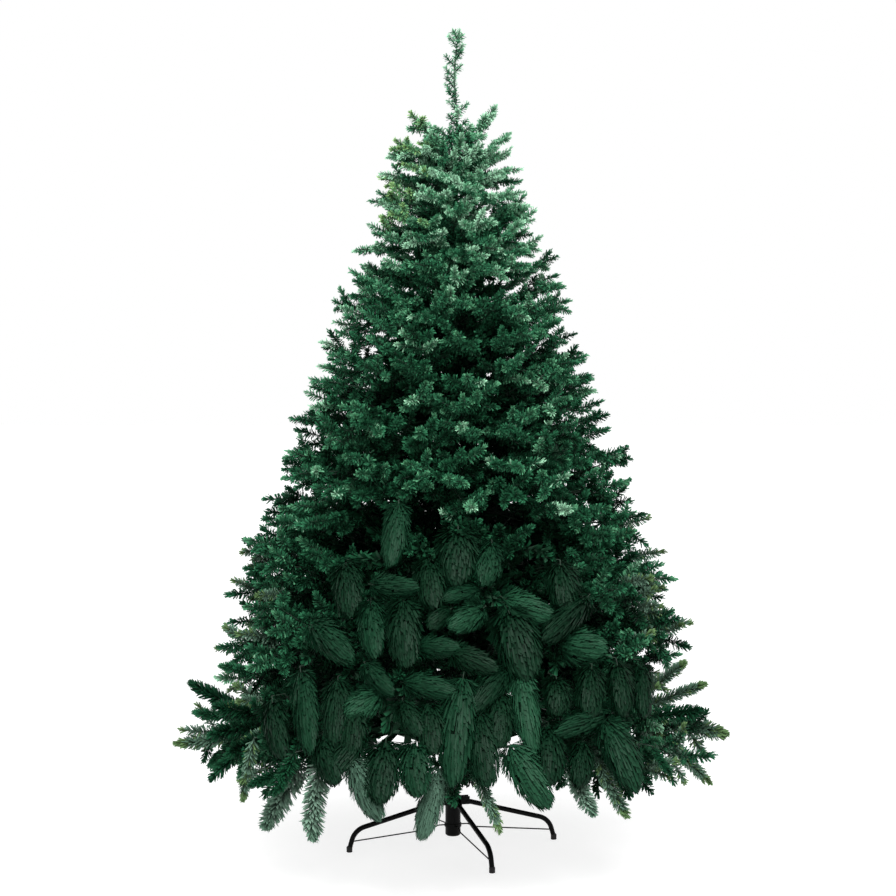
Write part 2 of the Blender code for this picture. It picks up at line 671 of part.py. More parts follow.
def build_leader(collection, material):
    """The top shoot: an upright wire from the pole's top, with short sprays up its length."""
    stem_from = Vector((0, 0, POLE_SECTIONS[-1][1] + REST_GAP))
    tip = Vector((LEADER_LEAN, 0, LEADER_TOP))
    heading = (tip - stem_from).normalized()
    stem_to = tip - heading * LEADER_SPRAY * STEM_END
    branch = Branch("foliage_leader", LeaderSpace(), stem_from, stem_to, LEADER_SEED)
    branch.add_spray(tip, heading, LEADER_SPRAY, LEADER_SPRAY * LEADER_WIDTH)
    for station in range(LEADER_STATIONS):
        foot = stem_from + (stem_to - stem_from) * (station + LEADER_OFFSET) / LEADER_STATIONS
        side = Quaternion(heading, station * GOLDEN_TURN) @ Vector((1, 0, 0))
        length = LEADER_SPRAY * branch.rng.uniform(*LEADER_TRIMS)
        spread = math.radians(branch.rng.uniform(*LEADER_SPREADS))
        direction = heading * math.cos(spread) + side * math.sin(spread)
        branch.add_spray(foot + direction * length, direction, length, length * LEADER_WIDTH)
    return branch.build(collection, material)


def main():
    clear_scene()
    tree = new_collection("christmas_tree")
    cutters = new_collection("cutters", hidden=True)
    pole_green = paint("pole_green", (0.012, 0.035, 0.022), 0.45, 0.2)
    stand_black = paint("stand_black", (0.006, 0.008, 0.008), 0.4, 0.3)
    cap_rubber = paint("cap_rubber", (0.010, 0.010, 0.010), 0.8)
    wire_green = paint("wire_green", (0.015, 0.040, 0.022), 0.5, 0.3)
    needle_green = paint("needle_green", (0.020, 0.075, 0.036), 0.6)

    build_pole(tree, pole_green)
    build_socket(tree, stand_black)
    for index, degrees in enumerate(LEG_TURNS):
        build_leg(index + 1, degrees, tree, cutters, stand_black)
        build_foot_cap(index + 1, degrees, tree, cap_rubber)
        build_brace(index + 1, degrees, tree, stand_black)

    for tier, count in enumerate(TIER_COUNTS):
        first_turn = tier * GOLDEN_TURN
        for number in range(count):
            seed = 100 * tier + number
            if tier == 0 and number % 2 == 0:
                seed = MATCHED_SEED  # so that the crown's box is centred on the pole
            build_branch(tier, number, count, first_turn, seed, tree, wire_green, needle_green)
    build_leader(tree, needle_green)


main()
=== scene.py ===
# Artificial Christmas tree on its folding stand: needles, twigs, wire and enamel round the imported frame.
# The crown grows by the rule of the CAD, carried on to finer twigs. Metres, Z up, seen from -Y.

import json
import math
import random

import bpy
from mathutils import Matrix, Quaternion, Vector

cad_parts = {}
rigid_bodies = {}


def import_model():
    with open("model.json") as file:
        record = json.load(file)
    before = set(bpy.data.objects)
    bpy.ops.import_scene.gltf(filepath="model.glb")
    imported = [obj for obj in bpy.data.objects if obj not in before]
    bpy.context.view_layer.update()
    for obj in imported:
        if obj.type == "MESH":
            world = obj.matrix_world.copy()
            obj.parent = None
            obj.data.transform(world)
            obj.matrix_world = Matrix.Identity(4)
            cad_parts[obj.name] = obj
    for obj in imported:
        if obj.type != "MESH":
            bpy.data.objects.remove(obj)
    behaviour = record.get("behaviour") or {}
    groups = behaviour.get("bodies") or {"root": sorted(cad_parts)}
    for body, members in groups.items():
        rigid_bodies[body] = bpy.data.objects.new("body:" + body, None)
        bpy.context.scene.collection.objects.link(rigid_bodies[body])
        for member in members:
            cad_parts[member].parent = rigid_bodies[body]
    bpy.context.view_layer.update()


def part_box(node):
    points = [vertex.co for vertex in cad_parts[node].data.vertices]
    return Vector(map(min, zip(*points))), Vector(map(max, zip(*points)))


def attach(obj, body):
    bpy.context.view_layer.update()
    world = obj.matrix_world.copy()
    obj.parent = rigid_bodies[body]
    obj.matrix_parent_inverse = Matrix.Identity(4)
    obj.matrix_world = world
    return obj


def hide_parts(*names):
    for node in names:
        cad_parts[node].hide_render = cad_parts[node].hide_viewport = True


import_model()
print("frame loaded")


# small helpers

goldenTurn = math.radians(137.5)
up = Vector((0, 0, 1))


def deselectAll():
    if bpy.context.object and bpy.context.object.mode != "OBJECT":
        bpy.ops.object.mode_set(mode="OBJECT")
    bpy.ops.object.select_all(action="DESELECT")


def selectOnly(piece):
    deselectAll()
    piece.select_set(True)
    bpy.context.view_layer.objects.active = piece


def addObject(name, data):
    piece = bpy.data.objects.new(name, data)
    bpy.context.scene.collection.objects.link(piece)
    return piece


def applyPlace(piece):
    selectOnly(piece)
    bpy.ops.object.transform_apply(location=True, rotation=True, scale=True)


def applyModifiers(piece):
    selectOnly(piece)
    for modifier in list(piece.modifiers):
        bpy.ops.object.modifier_apply(modifier=modifier.name)


def joinPieces(parts, name):
    selectOnly(parts[0])
    for part in parts:
        part.select_set(True)
    bpy.ops.object.join()
    piece = bpy.context.object
    piece.name = name
    piece.data.name = name
    return piece


def dress(piece, material, nodes=()):
    # the finish, the body it rides on and the CAD nodes it stands for
    if material:
        piece.data.materials.clear()
        piece.data.materials.append(material)
    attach(piece, "root")
    if nodes:
        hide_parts(*nodes)


def outFromAxis(turn, distance, height):
    return Vector((math.cos(turn) * distance, math.sin(turn) * distance, height))


def blendSizes(sizes, share):
    return sizes[0] + (sizes[1] - sizes[0]) * share


# materials

def newMaterial(name, sockets):
    # the sockets are the shader's own values, the same all over
    material = bpy.data.materials.new(name)
    material.use_nodes = True
    nodes = material.node_tree.nodes
    shader = nodes["Principled BSDF"]
    for socket, value in sockets.items():
        shader.inputs[socket].default_value = value
    return material, nodes, material.node_tree.links, shader


def addNoise(nodes, links, scale, detail, stretch=(1.0, 1.0, 1.0)):
    # noise on Object coordinates, drawn out along an axis where the stretch is under 1
    place = nodes.new("ShaderNodeTexCoord")
    mapping = nodes.new("ShaderNodeMapping")
    mapping.inputs["Scale"].default_value = stretch
    noise = nodes.new("ShaderNodeTexNoise")
    noise.inputs["Scale"].default_value = scale
    noise.inputs["Detail"].default_value = detail
    links.new(place.outputs["Object"], mapping.inputs["Vector"])
    links.new(mapping.outputs["Vector"], noise.inputs["Vector"])
    return noise.outputs["Fac"]


def rampBetween(nodes, links, factor, colour, amounts, ends):
    # the colour times the first amount at one end of the factor, and times the second at the other
    ramp = nodes.new("ShaderNodeValToRGB")
    for element, end, amount in zip(ramp.color_ramp.elements, ends, amounts):
        element.position = end
        element.color = (*(channel * amount for channel in colour), 1.0)
    links.new(factor, ramp.inputs["Fac"])
    return ramp.outputs["Color"]


def rangeBetween(nodes, links, factor, ends):
    spread = nodes.new("ShaderNodeMapRange")
    spread.inputs["To Min"].default_value, spread.inputs["To Max"].default_value = ends
    links.new(factor, spread.inputs["Value"])
    return spread.outputs["Result"]


def addBump(nodes, links, shader, height, strength, distance):
    bump = nodes.new("ShaderNodeBump")
    bump.inputs["Strength"].default_value = strength
    bump.inputs["Distance"].default_value = distance
    links.new(height, bump.inputs["Height"])
    links.new(bump.outputs["Normal"], shader.inputs["Normal"])


filmLook = {
    "uneven": (60.0, 3.0),  # scale and detail of its noise
    "unevenness": (-0.25, 0.25),
    "grain": (900.0, 2.0),
    "amounts": (0.65, 1.65),  # of its colour, at the wire as painted shade and at the cut end as painted light
    "ends": (0.4, 1.0),
    "roughness": (0.42, 0.62),
    "bump": (0.25, 0.0004),  # strength, and depth in metres
    "sockets": {"Specular IOR Level": 0.07},
}


def needleFilm(name, colour):
    # cut PVC film, a little uneven, with the grain of rolled film; darker at the wire as painted shade
    # inside the spray, and paler at its cut end as painted light on the spray's outer ends
    look = filmLook
    material, nodes, links, shader = newMaterial(name, look["sockets"])
    along = nodes.new("ShaderNodeAttribute")
    along.attribute_name = "along"
    uneven = addNoise(nodes, links, *look["uneven"])
    grain = addNoise(nodes, links, *look["grain"])
    paling = nodes.new("ShaderNodeMath")
    links.new(along.outputs["Fac"], paling.inputs[0])
    links.new(rangeBetween(nodes, links, uneven, look["unevenness"]), paling.inputs[1])
    film = rampBetween(nodes, links, paling.outputs[0], colour, look["amounts"], look["ends"])
    links.new(film, shader.inputs["Base Color"])
    links.new(rangeBetween(nodes, links, grain, look["roughness"]), shader.inputs["Roughness"])
    addBump(nodes, links, shader, grain, *look["bump"])
    return material


enamelLook = {
    # sprayed enamel on steel tube: slight orange peel, duller and paler where hands and feet rub it
    "patches": (24.0, 5.0),  # where it is worn
    "amounts": (0.9, 1.7),
    "ends": (0.45, 0.8),
    "roughness": (0.28, 0.52),
    "grain": (520.0, 2.0),
    "bump": (0.18, 0.0003),
    "sockets": {"Metallic": 0.15, "Specular IOR Level": 0.08, "Coat Weight": 0.01, "Coat Roughness": 0.2},
}
rubberLook = {
    # moulded rubber: matt, finely pitted, with grey floor dust in its pits
    "patches": (70.0, 4.0),  # where the dust lies
    "amounts": (1.0, 2.6),
    "ends": (0.45, 0.75),
    "roughness": (0.72, 0.95),
    "grain": (1400.0, 2.0),
    "bump": (0.4, 0.0002),
    "sockets": {},
}
wrapLook = {
    # twisted green wire under its needles: dull plastic, streaked along the twist
    "patches": (160.0, 3.0, (1.0, 1.0, 0.35)),  # the streaks
    "amounts": (0.65, 1.5),
    "ends": (0.35, 0.65),
    "roughness": (0.48, 0.72),
    "bump": (0.4, 0.0005),
    "sockets": {},
}


def solidFinish(name, colour, look):
    # colour and roughness follow the patches, and the bump follows the grain, if it has one of its own
    material, nodes, links, shader = newMaterial(name, look["sockets"])
    patches = addNoise(nodes, links, *look["patches"])
    grain = addNoise(nodes, links, *look["grain"]) if "grain" in look else patches
    coat = rampBetween(nodes, links, patches, colour, look["amounts"], look["ends"])
    links.new(coat, shader.inputs["Base Color"])
    links.new(rangeBetween(nodes, links, patches, look["roughness"]), shader.inputs["Roughness"])
    addBump(nodes, links, shader, grain, *look["bump"])
    return material


greens = {
    "deep": (0.0022, 0.0160, 0.0068),
    "dark": (0.0050, 0.0340, 0.0150),
    "mid": (0.0125, 0.0680, 0.0320),
    "fresh": (0.0430, 0.1400, 0.0730),
    # the palest green is painted light: the lit top of the crown, the ends of sprays and the glints
    "frost": (0.1500, 0.2900, 0.1900),
    "sage": (0.0520, 0.1420, 0.0620),
    "lime": (0.1150, 0.2100, 0.0800),
    "olive": (0.0520, 0.0950, 0.0370),
    "grey": (0.0520, 0.0980, 0.0680),
    "ash": (0.0880, 0.1450, 0.1080),
    "haze": (0.0420, 0.0880, 0.0600),
    "shade": (0.0024, 0.0170, 0.0074),
    "dusk": (0.0043, 0.0275, 0.0125),
    "moss": (0.0085, 0.0440, 0.0210),
}
needleFilms = {green: needleFilm("needles_" + green, colour) for green, colour in greens.items()}
poleEnamel = solidFinish("pole_enamel", (0.012, 0.035, 0.022), enamelLook)
standEnamel = solidFinish("stand_enamel", (0.0008, 0.0011, 0.0011), enamelLook)
capRubber = solidFinish("cap_rubber", (0.006, 0.006, 0.006), rubberLook)
boughWrap = solidFinish("bough_wrap", (0.015, 0.045, 0.024), wrapLook)
twigWrap = solidFinish("twig_wrap", (0.006, 0.020, 0.010), wrapLook)
print("materials mixed")


# pole and stand

smoothAngle = math.radians(40)
bevelAngle = math.radians(35)


def stackRings(name, rings, sides, centre=(0.0, 0.0)):
    # a circle extruded up and scaled, ring by ring, as (radius, height); the last ring closes it
    x, y = centre
    radius, height = rings[0]
    place = (x, y, height)
    deselectAll()
    bpy.ops.mesh.primitive_circle_add(vertices=sides, radius=radius, fill_type="NGON", location=place)
    piece = bpy.context.object
    piece.name = name
    bpy.ops.object.mode_set(mode="EDIT")
    bpy.ops.mesh.select_all(action="SELECT")
    for nextRadius, nextHeight in rings[1:]:
        bpy.ops.mesh.extrude_region_move(TRANSFORM_OT_translate={"value": (0, 0, nextHeight - height)})
        wider = nextRadius / radius
        bpy.ops.transform.resize(value=(wider, wider, 1), center_override=(x, y, nextHeight))
        radius, height = nextRadius, nextHeight
    bpy.ops.mesh.select_all(action="SELECT")
    bpy.ops.mesh.normals_make_consistent(inside=False)
    bpy.ops.object.mode_set(mode="OBJECT")
    applyPlace(piece)
    return piece


def smoothEdges(piece, width):
    # rounds the sharp edges, as rolled or pressed steel has them
    bevel = piece.modifiers.new("rounded", "BEVEL")
    bevel.width = width
    bevel.segments = 2
    bevel.limit_method = "ANGLE"
    bevel.angle_limit = bevelAngle
    applyModifiers(piece)
    selectOnly(piece)
    bpy.ops.object.shade_smooth_by_angle(angle=smoothAngle)


def meshFromWires(name, wires, roundness=0):
    # round wires, each (points, first radius, last radius), as one bevelled curve that is made a mesh
    curve = bpy.data.curves.new(name, "CURVE")
    curve.dimensions = "3D"
    curve.bevel_depth = 1.0
    curve.bevel_resolution = roundness
    curve.use_fill_caps = True
    for points, first, last in wires:
        spline = curve.splines.new("POLY")
        spline.points.add(len(points) - 1)
        for index, point in enumerate(points):
            spline.points[index].co = (*point, 1.0)
            spline.points[index].radius = blendSizes((first, last), index / (len(points) - 1))
    selectOnly(addObject(name, curve))
    bpy.ops.object.convert(target="MESH")
    return bpy.context.object


def tubeAlong(name, points, radii, roundness):
    # one closed round bar
    piece = meshFromWires(name, [(points, *radii)], roundness)
    bpy.ops.object.mode_set(mode="EDIT")
    bpy.ops.mesh.select_all(action="SELECT")
    bpy.ops.mesh.remove_doubles(threshold=0.00001)
    bpy.ops.mesh.normals_make_consistent(inside=False)
    bpy.ops.object.mode_set(mode="OBJECT")
    bpy.ops.object.shade_smooth_by_angle(angle=smoothAngle)
    return piece


poleSizes = {
    "sections": ((0.0140, 0.64), (0.0125, 1.20), (0.0095, 1.52)),  # radius, top of the section
    "bottom": 0.0330,
    "sleeveHeight": 0.045,
    "sleeveWall": 0.0015,
    "sleeveRoom": 0.005,  # over and under a sleeve, where what grows still keeps clear of it
    "lipWidth": 0.0007,  # the rolled lip at each sleeve's mouth
    "lipHeight": 0.004,
    "lipSlope": 0.7,  # of its height
    "ringWidth": 0.0050,
    "ringHeight": 0.016,
    "ringGroove": 0.0012,
    "grooveShares": (0.3, 0.7),  # of the ring's height
    "sides": 48,
    "rounding": 0.0004,
}


def poleRadius(height):
    sections, room = poleSizes["sections"], poleSizes["sleeveRoom"]
    for radius, top in sections[:-1]:
        if height <= top + room:
            sleeved = height > top - poleSizes["sleeveHeight"] - room
            return radius + poleSizes["sleeveWall"] * sleeved
    return sections[-1][0]


def makePole():
    # three tubes, each swaged out over the next, and the welded branch ring with its grooves
    sizes = poleSizes
    lowestRoot = crownSizes["lowestRoot"]
    sections = sizes["sections"]
    radius = sections[0][0]
    ringLow = lowestRoot - sizes["ringHeight"] / 2
    ringHigh = lowestRoot + sizes["ringHeight"] / 2
    ringOut = radius + sizes["ringWidth"]
    groove = sizes["ringGroove"]
    rings = [(radius, sizes["bottom"]), (radius, ringLow), (ringOut, ringLow)]
    for share in sizes["grooveShares"]:
        height = blendSizes((ringLow, ringHigh), share)
        rings += [(ringOut, height - groove), (ringOut - groove, height), (ringOut, height + groove)]
    rings += [(ringOut, ringHigh), (radius, ringHigh)]
    for (radius, top), upper in zip(sections, sections[1:]):
        sleeve = radius + sizes["sleeveWall"]
        lip = sleeve + sizes["lipWidth"]
        foot = top - sizes["sleeveHeight"]
        rings += [(radius, foot - sizes["sleeveWall"]), (sleeve, foot), (sleeve, top - sizes["lipHeight"])]
        rings += [(lip, top - sizes["lipHeight"] * sizes["lipSlope"]), (lip, top), (upper[0], top)]
    rings.append(sections[-1])
    pole = stackRings("pole_tubes", rings, sizes["sides"])
    smoothEdges(pole, sizes["rounding"])
    dress(pole, poleEnamel, ["pole"])


standSizes = {
    "socketRadius": 0.0170,
    "socketBore": 0.0144,
    "socketBottom": 0.0240,
    "socketTop": 0.1120,
    "socketRim": 0.003,  # how far its foot is rolled in
    "boreDepth": 0.012,  # that shows over the pole's foot
    "socketRounding": 0.0005,
    "hubRadius": 0.0195,
    "hubHeight": 0.0200,
    "hookBandRadius": 0.0190,
    "hookBandHeight": 0.0080,
    "braceTop": 0.0480,
    "legRadius": 0.0055,
    "legTurns": (13.5, 110.5, 193.5, 290.5),
    "legRoot": (0.0270, 0.1005),
    "legKnee": (0.2225, 0.0480),
    "legFoot": (0.2360, 0.0),
    "kneeBend": 0.040,
    "kneeSteps": 14,
    "legInCap": 0.6,  # of the cap's height
    "legRoundness": 6,
    "earSize": (0.0200, 0.0022, 0.0180),
    "earReach": 0.0370,
    "earDrop": 0.001,
    "earRounding": 0.0008,
    "rivetAxis": (0.0305, 0.0995),
    "rivetRadius": 0.0034,
    "rivetDome": 0.45,  # of its radius
    "rivetSides": 20,
    "braceRadius": 0.0015,
    "braceLow": 0.0235,
    "braceCrank": ((0.0520, 0.0400), (0.0470, 0.0410), (0.0360, 0.0470), (0.0310, 0.0480)),
    "braceRoundness": 2,
    "gap": 0.0003,
}


def makeEar(turn, hand):
    # one cheek of the pressed bracket that holds a leg, with its domed rivet head
    sizes = standSizes
    along, across, high = sizes["earSize"]
    side = sizes["legRadius"] + sizes["gap"] + across / 2
    spin = Matrix.Rotation(turn, 4, "Z")
    low = sizes["socketTop"] - sizes["earDrop"] - high / 2
    middle = spin @ Vector((sizes["earReach"] - along / 2, hand * side, low))
    deselectAll()
    bpy.ops.mesh.primitive_cube_add(size=1.0, location=middle, rotation=(0, 0, turn), scale=sizes["earSize"])
    ear = bpy.context.object
    applyPlace(ear)
    smoothEdges(ear, sizes["earRounding"])
    rivetDistance, rivetHeight = sizes["rivetAxis"]
    headAt = spin @ Vector((rivetDistance, hand * (side + across / 2), rivetHeight))
    sides = sizes["rivetSides"]
    deselectAll()
    bpy.ops.mesh.primitive_uv_sphere_add(segments=sides, ring_count=sides // 2, radius=sizes["rivetRadius"],
                                         location=headAt, rotation=(math.pi / 2, 0, turn),
                                         scale=(1, 1, sizes["rivetDome"]))
    head = bpy.context.object
    applyPlace(head)
    bpy.ops.object.shade_smooth()
    return [ear, head]


def makeSocket():
    # the black tube with its rolled foot, hook band and hub band, open at the top for the pole
    sizes = standSizes
    radius, rim, top = sizes["socketRadius"], sizes["socketRim"], sizes["socketTop"]
    hookLow = sizes["braceTop"] - sizes["hookBandHeight"] / 2
    hookHigh = sizes["braceTop"] + sizes["hookBandHeight"] / 2
    hubLow = top - sizes["hubHeight"]
    rings = [
        (radius - rim, sizes["socketBottom"]),
        (radius, sizes["socketBottom"] + rim),
        (radius, hookLow),
        (sizes["hookBandRadius"], hookLow),
        (sizes["hookBandRadius"], hookHigh),
        (radius, hookHigh),
        (radius, hubLow),
        (sizes["hubRadius"], hubLow),
        (sizes["hubRadius"], top),
        (sizes["socketBore"], top),
        (sizes["socketBore"], top - sizes["boreDepth"]),
    ]
    tube = stackRings("socket_tube", rings, poleSizes["sides"])
    smoothEdges(tube, sizes["socketRounding"])
    parts = [tube]
    for degrees in sizes["legTurns"]:
        for hand in (-1, 1):
            parts += makeEar(math.radians(degrees), hand)
    socket = joinPieces(parts, "stand_socket_tube")
    dress(socket, standEnamel, ["stand_socket"])


def roundedCorner(before, corner, after, radius, steps):
    # points of the arc that rounds the corner of a line
    inward = (before - corner).normalized()
    onward = (after - corner).normalized()
    half = inward.angle(onward) / 2
    centre = corner + (inward + onward).normalized() * radius / math.sin(half)
    start = corner + inward * radius / math.tan(half) - centre
    end = corner + onward * radius / math.tan(half) - centre
    sweep = start.rotation_difference(end)
    return [centre + Quaternion(sweep.axis, sweep.angle * i / steps) @ start for i in range(steps + 1)]


capSizes = {
    "height": 0.0130,
    "rim": 0.0008,  # how far the sole's edge is rounded
    "ribShares": (0.30, 0.52),  # of the height, for the grooves between the grip ribs
    "ribDepth": 0.0007,
    "shoulder": ((0.0, 0.0022), (0.0006, 0.0008), (0.0018, 0.0)),  # inward, down from the top
    "sides": 40,
    "rounding": 0.0003,
}


def makeLeg(number, degrees):
    # a bent tube from its ears to its cap
    sizes = standSizes
    turn = math.radians(degrees)
    root, knee, foot = (Vector((*sizes[key], 0)) for key in ("legRoot", "legKnee", "legFoot"))
    capTop = knee.lerp(foot, 1 - capSizes["height"] * sizes["legInCap"] / knee.y)
    line = [root, *roundedCorner(root, knee, foot, sizes["kneeBend"], sizes["kneeSteps"]), capTop]
    points = [outFromAxis(turn, point.x, point.y) for point in line]
    leg = tubeAlong(f"leg_tube_{number}", points, [sizes["legRadius"]] * 2, sizes["legRoundness"])
    dress(leg, standEnamel, [f"stand_leg_{number}"])


def makeCap(number):
    # a push-on rubber cap with a rounded rim, two grip grooves and a flat sole
    sizes = capSizes
    low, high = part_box(f"foot_cap_{number}")
    centre = ((low[0] + high[0]) / 2, (low[1] + high[1]) / 2)
    radius = (high[0] - low[0]) / 2
    top = high[2]
    rim = sizes["rim"]
    rings = [(radius - rim, low[2]), (radius, rim)]
    for share in sizes["ribShares"]:
        height = top * share
        rings += [(radius, height - rim), (radius - sizes["ribDepth"], height), (radius, height + rim)]
    rings += [(radius - inward, top - down) for inward, down in sizes["shoulder"]]
    cap = stackRings(f"cap_rubber_{number}", rings, sizes["sides"], centre)
    smoothEdges(cap, sizes["rounding"])
    dress(cap, capRubber, [f"foot_cap_{number}"])


def makeBrace(number, degrees):
    # the wire from low on the leg to the hook band, cranked up just before the band
    sizes = standSizes
    turn = math.radians(degrees)
    knee, foot = sizes["legKnee"], sizes["legFoot"]
    legOut = blendSizes((foot[0], knee[0]), sizes["braceLow"] / knee[1])
    line = [(legOut - sizes["legRadius"], sizes["braceLow"]), *sizes["braceCrank"]]
    line.append((sizes["hookBandRadius"], sizes["braceTop"]))
    points = [outFromAxis(turn, *place) for place in line]
    brace = tubeAlong(f"brace_wire_{number}", points, [sizes["braceRadius"]] * 2, sizes["braceRoundness"])
    dress(brace, standEnamel, [f"stand_brace_{number}"])


# the crown's rule, as in the CAD, with finer sprays

crownSizes = {
    "treeHeight": 1.80,
    "reach": 0.62,
    "widestHeight": 0.24,
    "taper": 0.37,
    "hemTaper": 0.50,
    "hemHeight": 0.108,
    "hemLifts": (0.035, 0.065),  # how much higher the hem is at the sides, and at the front and back
    "liftPower": 8,  # the higher, the narrower those lifts are
    "faceSteps": 8,
    "tierCounts": (8, 6, 5, 5, 4, 3, 3, 3),
    "tierFloors": (0.108, 0.31, 0.49, 0.67, 0.85, 1.02, 1.19, 1.355, 1.545),
    "tierSlopes": (0.0, 0.06, 0.12, 0.18, 0.25, 0.32, 0.40, 0.50, 0.90),
    "lowestRoot": 0.215,
    "lowestTip": 0.252,
    "tipInset": 0.002,
    "boughEnd": 0.190,
    "tierTurn": math.radians(137.5),
    "waveHeight": 0.040,
    "waves": 2,
    "gap": 0.0003,
}
tierCounts = crownSizes["tierCounts"]
topTier = len(tierCounts) - 1
leaderTier = topTier + 1


def crownReach(height):
    sizes = crownSizes
    if height < sizes["widestHeight"]:
        return sizes["reach"] - (sizes["widestHeight"] - height) * sizes["hemTaper"]
    return sizes["reach"] - (height - sizes["widestHeight"]) * sizes["taper"]


def hem(turn):
    # how low the crown hangs: lowest at the diagonals, lifted at the sides and more in front
    side, front = crownSizes["hemLifts"]
    power = crownSizes["liftPower"]
    return crownSizes["hemHeight"] + side * math.cos(turn) ** power + front * math.sin(turn) ** power


def byTier(pair, tier):
    # between the lowest tier's size and the top tier's
    return blendSizes(pair, tier / topTier)


def tierAt(height):
    floors = crownSizes["tierFloors"][:-1]
    return max([index for index, floor in enumerate(floors) if height >= floor], default=0)


limbSizes = {
    # a pair of numbers is for the lowest tier and for the top one
    "areas": (0.0122, 0.0042),  # of the crown's face for each limb
    "overlap": 0.07,  # how far the limbs of a tier stray into the next one
    "acrossStep": 0.7549,  # these two steps scatter the limbs evenly, with no rows
    "upStep": 0.5698,
    "layeredFrom": 6,  # from this tier up they lie in rows
    "rowHeight": 0.052,
    "rowShift": 0.22,
    "hemFree": (0.60, 0.25),  # of the lowest tier's face, left to the hem's sprays, in front and behind
    "behind": 0.3,  # over this sine of the turn
    "sides": (0.88, 0.40),  # over this cosine of the turn and under this height limbs end further in
    "sideRoom": 0.090,  # by so much, behind the placed sprays of the front or the hem's own
    "frontClear": 0.075,  # how far over the hem the rest ends in front and behind
    "hemSlack": 0.006,  # how far tips may hang under the hem
    "over": 0.014,  # how far tips may stand past the crown's reach, and short of it
    "short": (0.030, 0.014),
    "lengths": (0.42, 0.17),  # how far back along its branch a limb springs
    "nearestFoot": 0.006,  # to the branch's beginning
    "steps": 6,
    "bend": 0.4,  # of a limb's length, which its tip's direction bends
    "nodeSpacing": (0.042, 0.024),
    "nodeJitter": (0.85, 1.15),
    "firstNodes": (0.1, 0.4),  # of the spacing, from the limb's end
    "handShift": 0.4,  # of the spacing, the most that a finger stands before its node
    "pairs": 6,
    "densePairs": (2.6, 3.6),  # outer pairs that have fine needles
    "smallFrom": 4,  # from this tier up the fine sprays are small ones
    "bareShare": 0.9,  # of a limb's length back from its end, past which it carries nothing
    "fingerLengths": (0.095, 0.060),
    "fingerRadii": (0.0195, 0.0125),
    "endLengths": (0.85, 1.1),  # of that, for the finger at a limb's end
    "endRadii": (0.92, 1.1),
    "sideLengths": (0.72, 1.0),  # and for the pairs
    "sideRadii": (0.9, 1.08),
    "fingerSpread": (30, 66),  # degrees between a limb and its side fingers
    "fingerTries": 4,
    "fingerCut": 0.84,  # at each try to keep to the crown
    "pairRolls": (88, 24),  # degrees that each pair may roll about its limb
    "poleRoom": (0.035, 0.008),  # kept clear of fingers round the pole
    "rises": (-0.15, -0.05, 0.05, 0.15, 0.22, 0.30, 0.28, 0.35),  # of the tips for each metre out, by tier
    "riseSpread": 0.40,
    "stemWire": (0.0032, 0.0018),
    "limbWire": (0.0022, 0.0014),
    "fingerWire": (0.0013, 0.0008),
    "wireShare": 0.7,  # of a finger's length
}
hemSizes = {
    # the hem's own limbs behind; in front placed sprays hang in their stead
    "tips": 14,
    "jitter": (0.3, 0.7),
    "heights": (0.004, 0.060),
    "insets": (0.01, 0.08),
    "rise": -1.0,
    "pairs": 1,
    "thickness": 1.25,
    "stretch": 1.35,
    "nearer": 2,  # its greens are as pale as those of fingers so many pairs further out, with that much less painted shade
}
topSizes = {
    "filled": 0.50,  # of the top tier's face that is filled evenly; the rest has the limbs below
    # tier, turn in degrees, reach, height, rise and thickness of the limbs that make the outline of the top
    "tips": ((7, 178, 0.100, 1.630, 0.9, 1.35), (7, 3, 0.100, 1.640, 0.9, 1.25),
             (7, 350, 0.140, 1.583, 0.5, 0.85), (7, 184, 0.150, 1.530, 0.25, 1.0),
             (7, 1, 0.157, 1.507, 0.30, 1.0), (7, 262, 0.028, 1.598, 2.5, 0.85),
             (7, 82, 0.060, 1.570, 1.0, 1.0), (7, 225, 0.095, 1.550, 0.8, 1.0),
             (7, 312, 0.090, 1.555, 0.8, 1.0), (7, 130, 0.100, 1.560, 0.7, 1.0),
             (7, 42, 0.095, 1.565, 0.7, 1.0), (6, 180, 0.173, 1.452, 0.2, 1.0),
             (6, 358, 0.170, 1.440, 0.2, 1.0), (7, 95, 0.024, 1.600, 2.5, 0.85),
             (7, 200, 0.160, 1.560, 0.2, 0.9), (4, 180, 0.366, 0.952, 0.3, 1.0),
             (3, 4, 0.420, 0.880, 0.3, 1.1), (7, 176, 0.172, 1.485, 0.15, 0.9),
             (5, 178, 0.290, 1.215, 0.3, 1.0), (5, 2, 0.275, 1.225, 0.3, 1.0),
             (3, 180, 0.476, 0.655, 0.1, 1.1), (2, 179, 0.510, 0.560, 0.0, 1.1),
             (2, 1, 0.535, 0.495, 0.2, 1.1)),
}
lobeSizes = {
    # long soft lobes that hang low in front and behind; in front they are placed, behind they grow in fans
    "sines": (0.70, 0.88),  # of the turn, where they begin and where they are in full
    "heights": (0.80, 0.68),
    "room": 0.055,  # how far the twigs behind them stand back
    "shade": 1.3,  # how many tones darker those are, as painted shade behind the lobes
    "cleared": 0.35,  # of those twigs in front are left out
    "shares": (0.60, 0.56, 0.50),  # of the limbs in the three lowest tiers that carry a fan
    "turnSpread": 0.10,
    "inFan": (2, 3),
    "fanLean": 20,  # degrees
    "fanSpread": 38,  # degrees between two lobes
    "fanJitter": 8,
    "droops": (46, 78),  # degrees under level
    "insets": (0.050, 0.080),  # of a fan's root from the crown's face
    "over": 0.050,  # how far that root stands over the limb's tip
    "overlap": 0.020,  # how far the lobes' feet cross
    "farthest": 0.13,  # that a fan hangs from its limb
    "lengths": (0.115, 0.150),
    "radii": (0.028, 0.040),
    "tries": 3,
    "cut": 0.86,  # at each try to keep to the crown
    # dark greens, as painted shade low in the crown
    "greens": ("deep", "shade", "dusk", "moss"),
    "greenShares": (0.15, 0.35, 0.30, 0.20),
    "fanWire": (0.0016, 0.0012),
    "lobeWire": (0.0014, 0.0010),
    "wireShare": 0.6,  # of a lobe's length
}
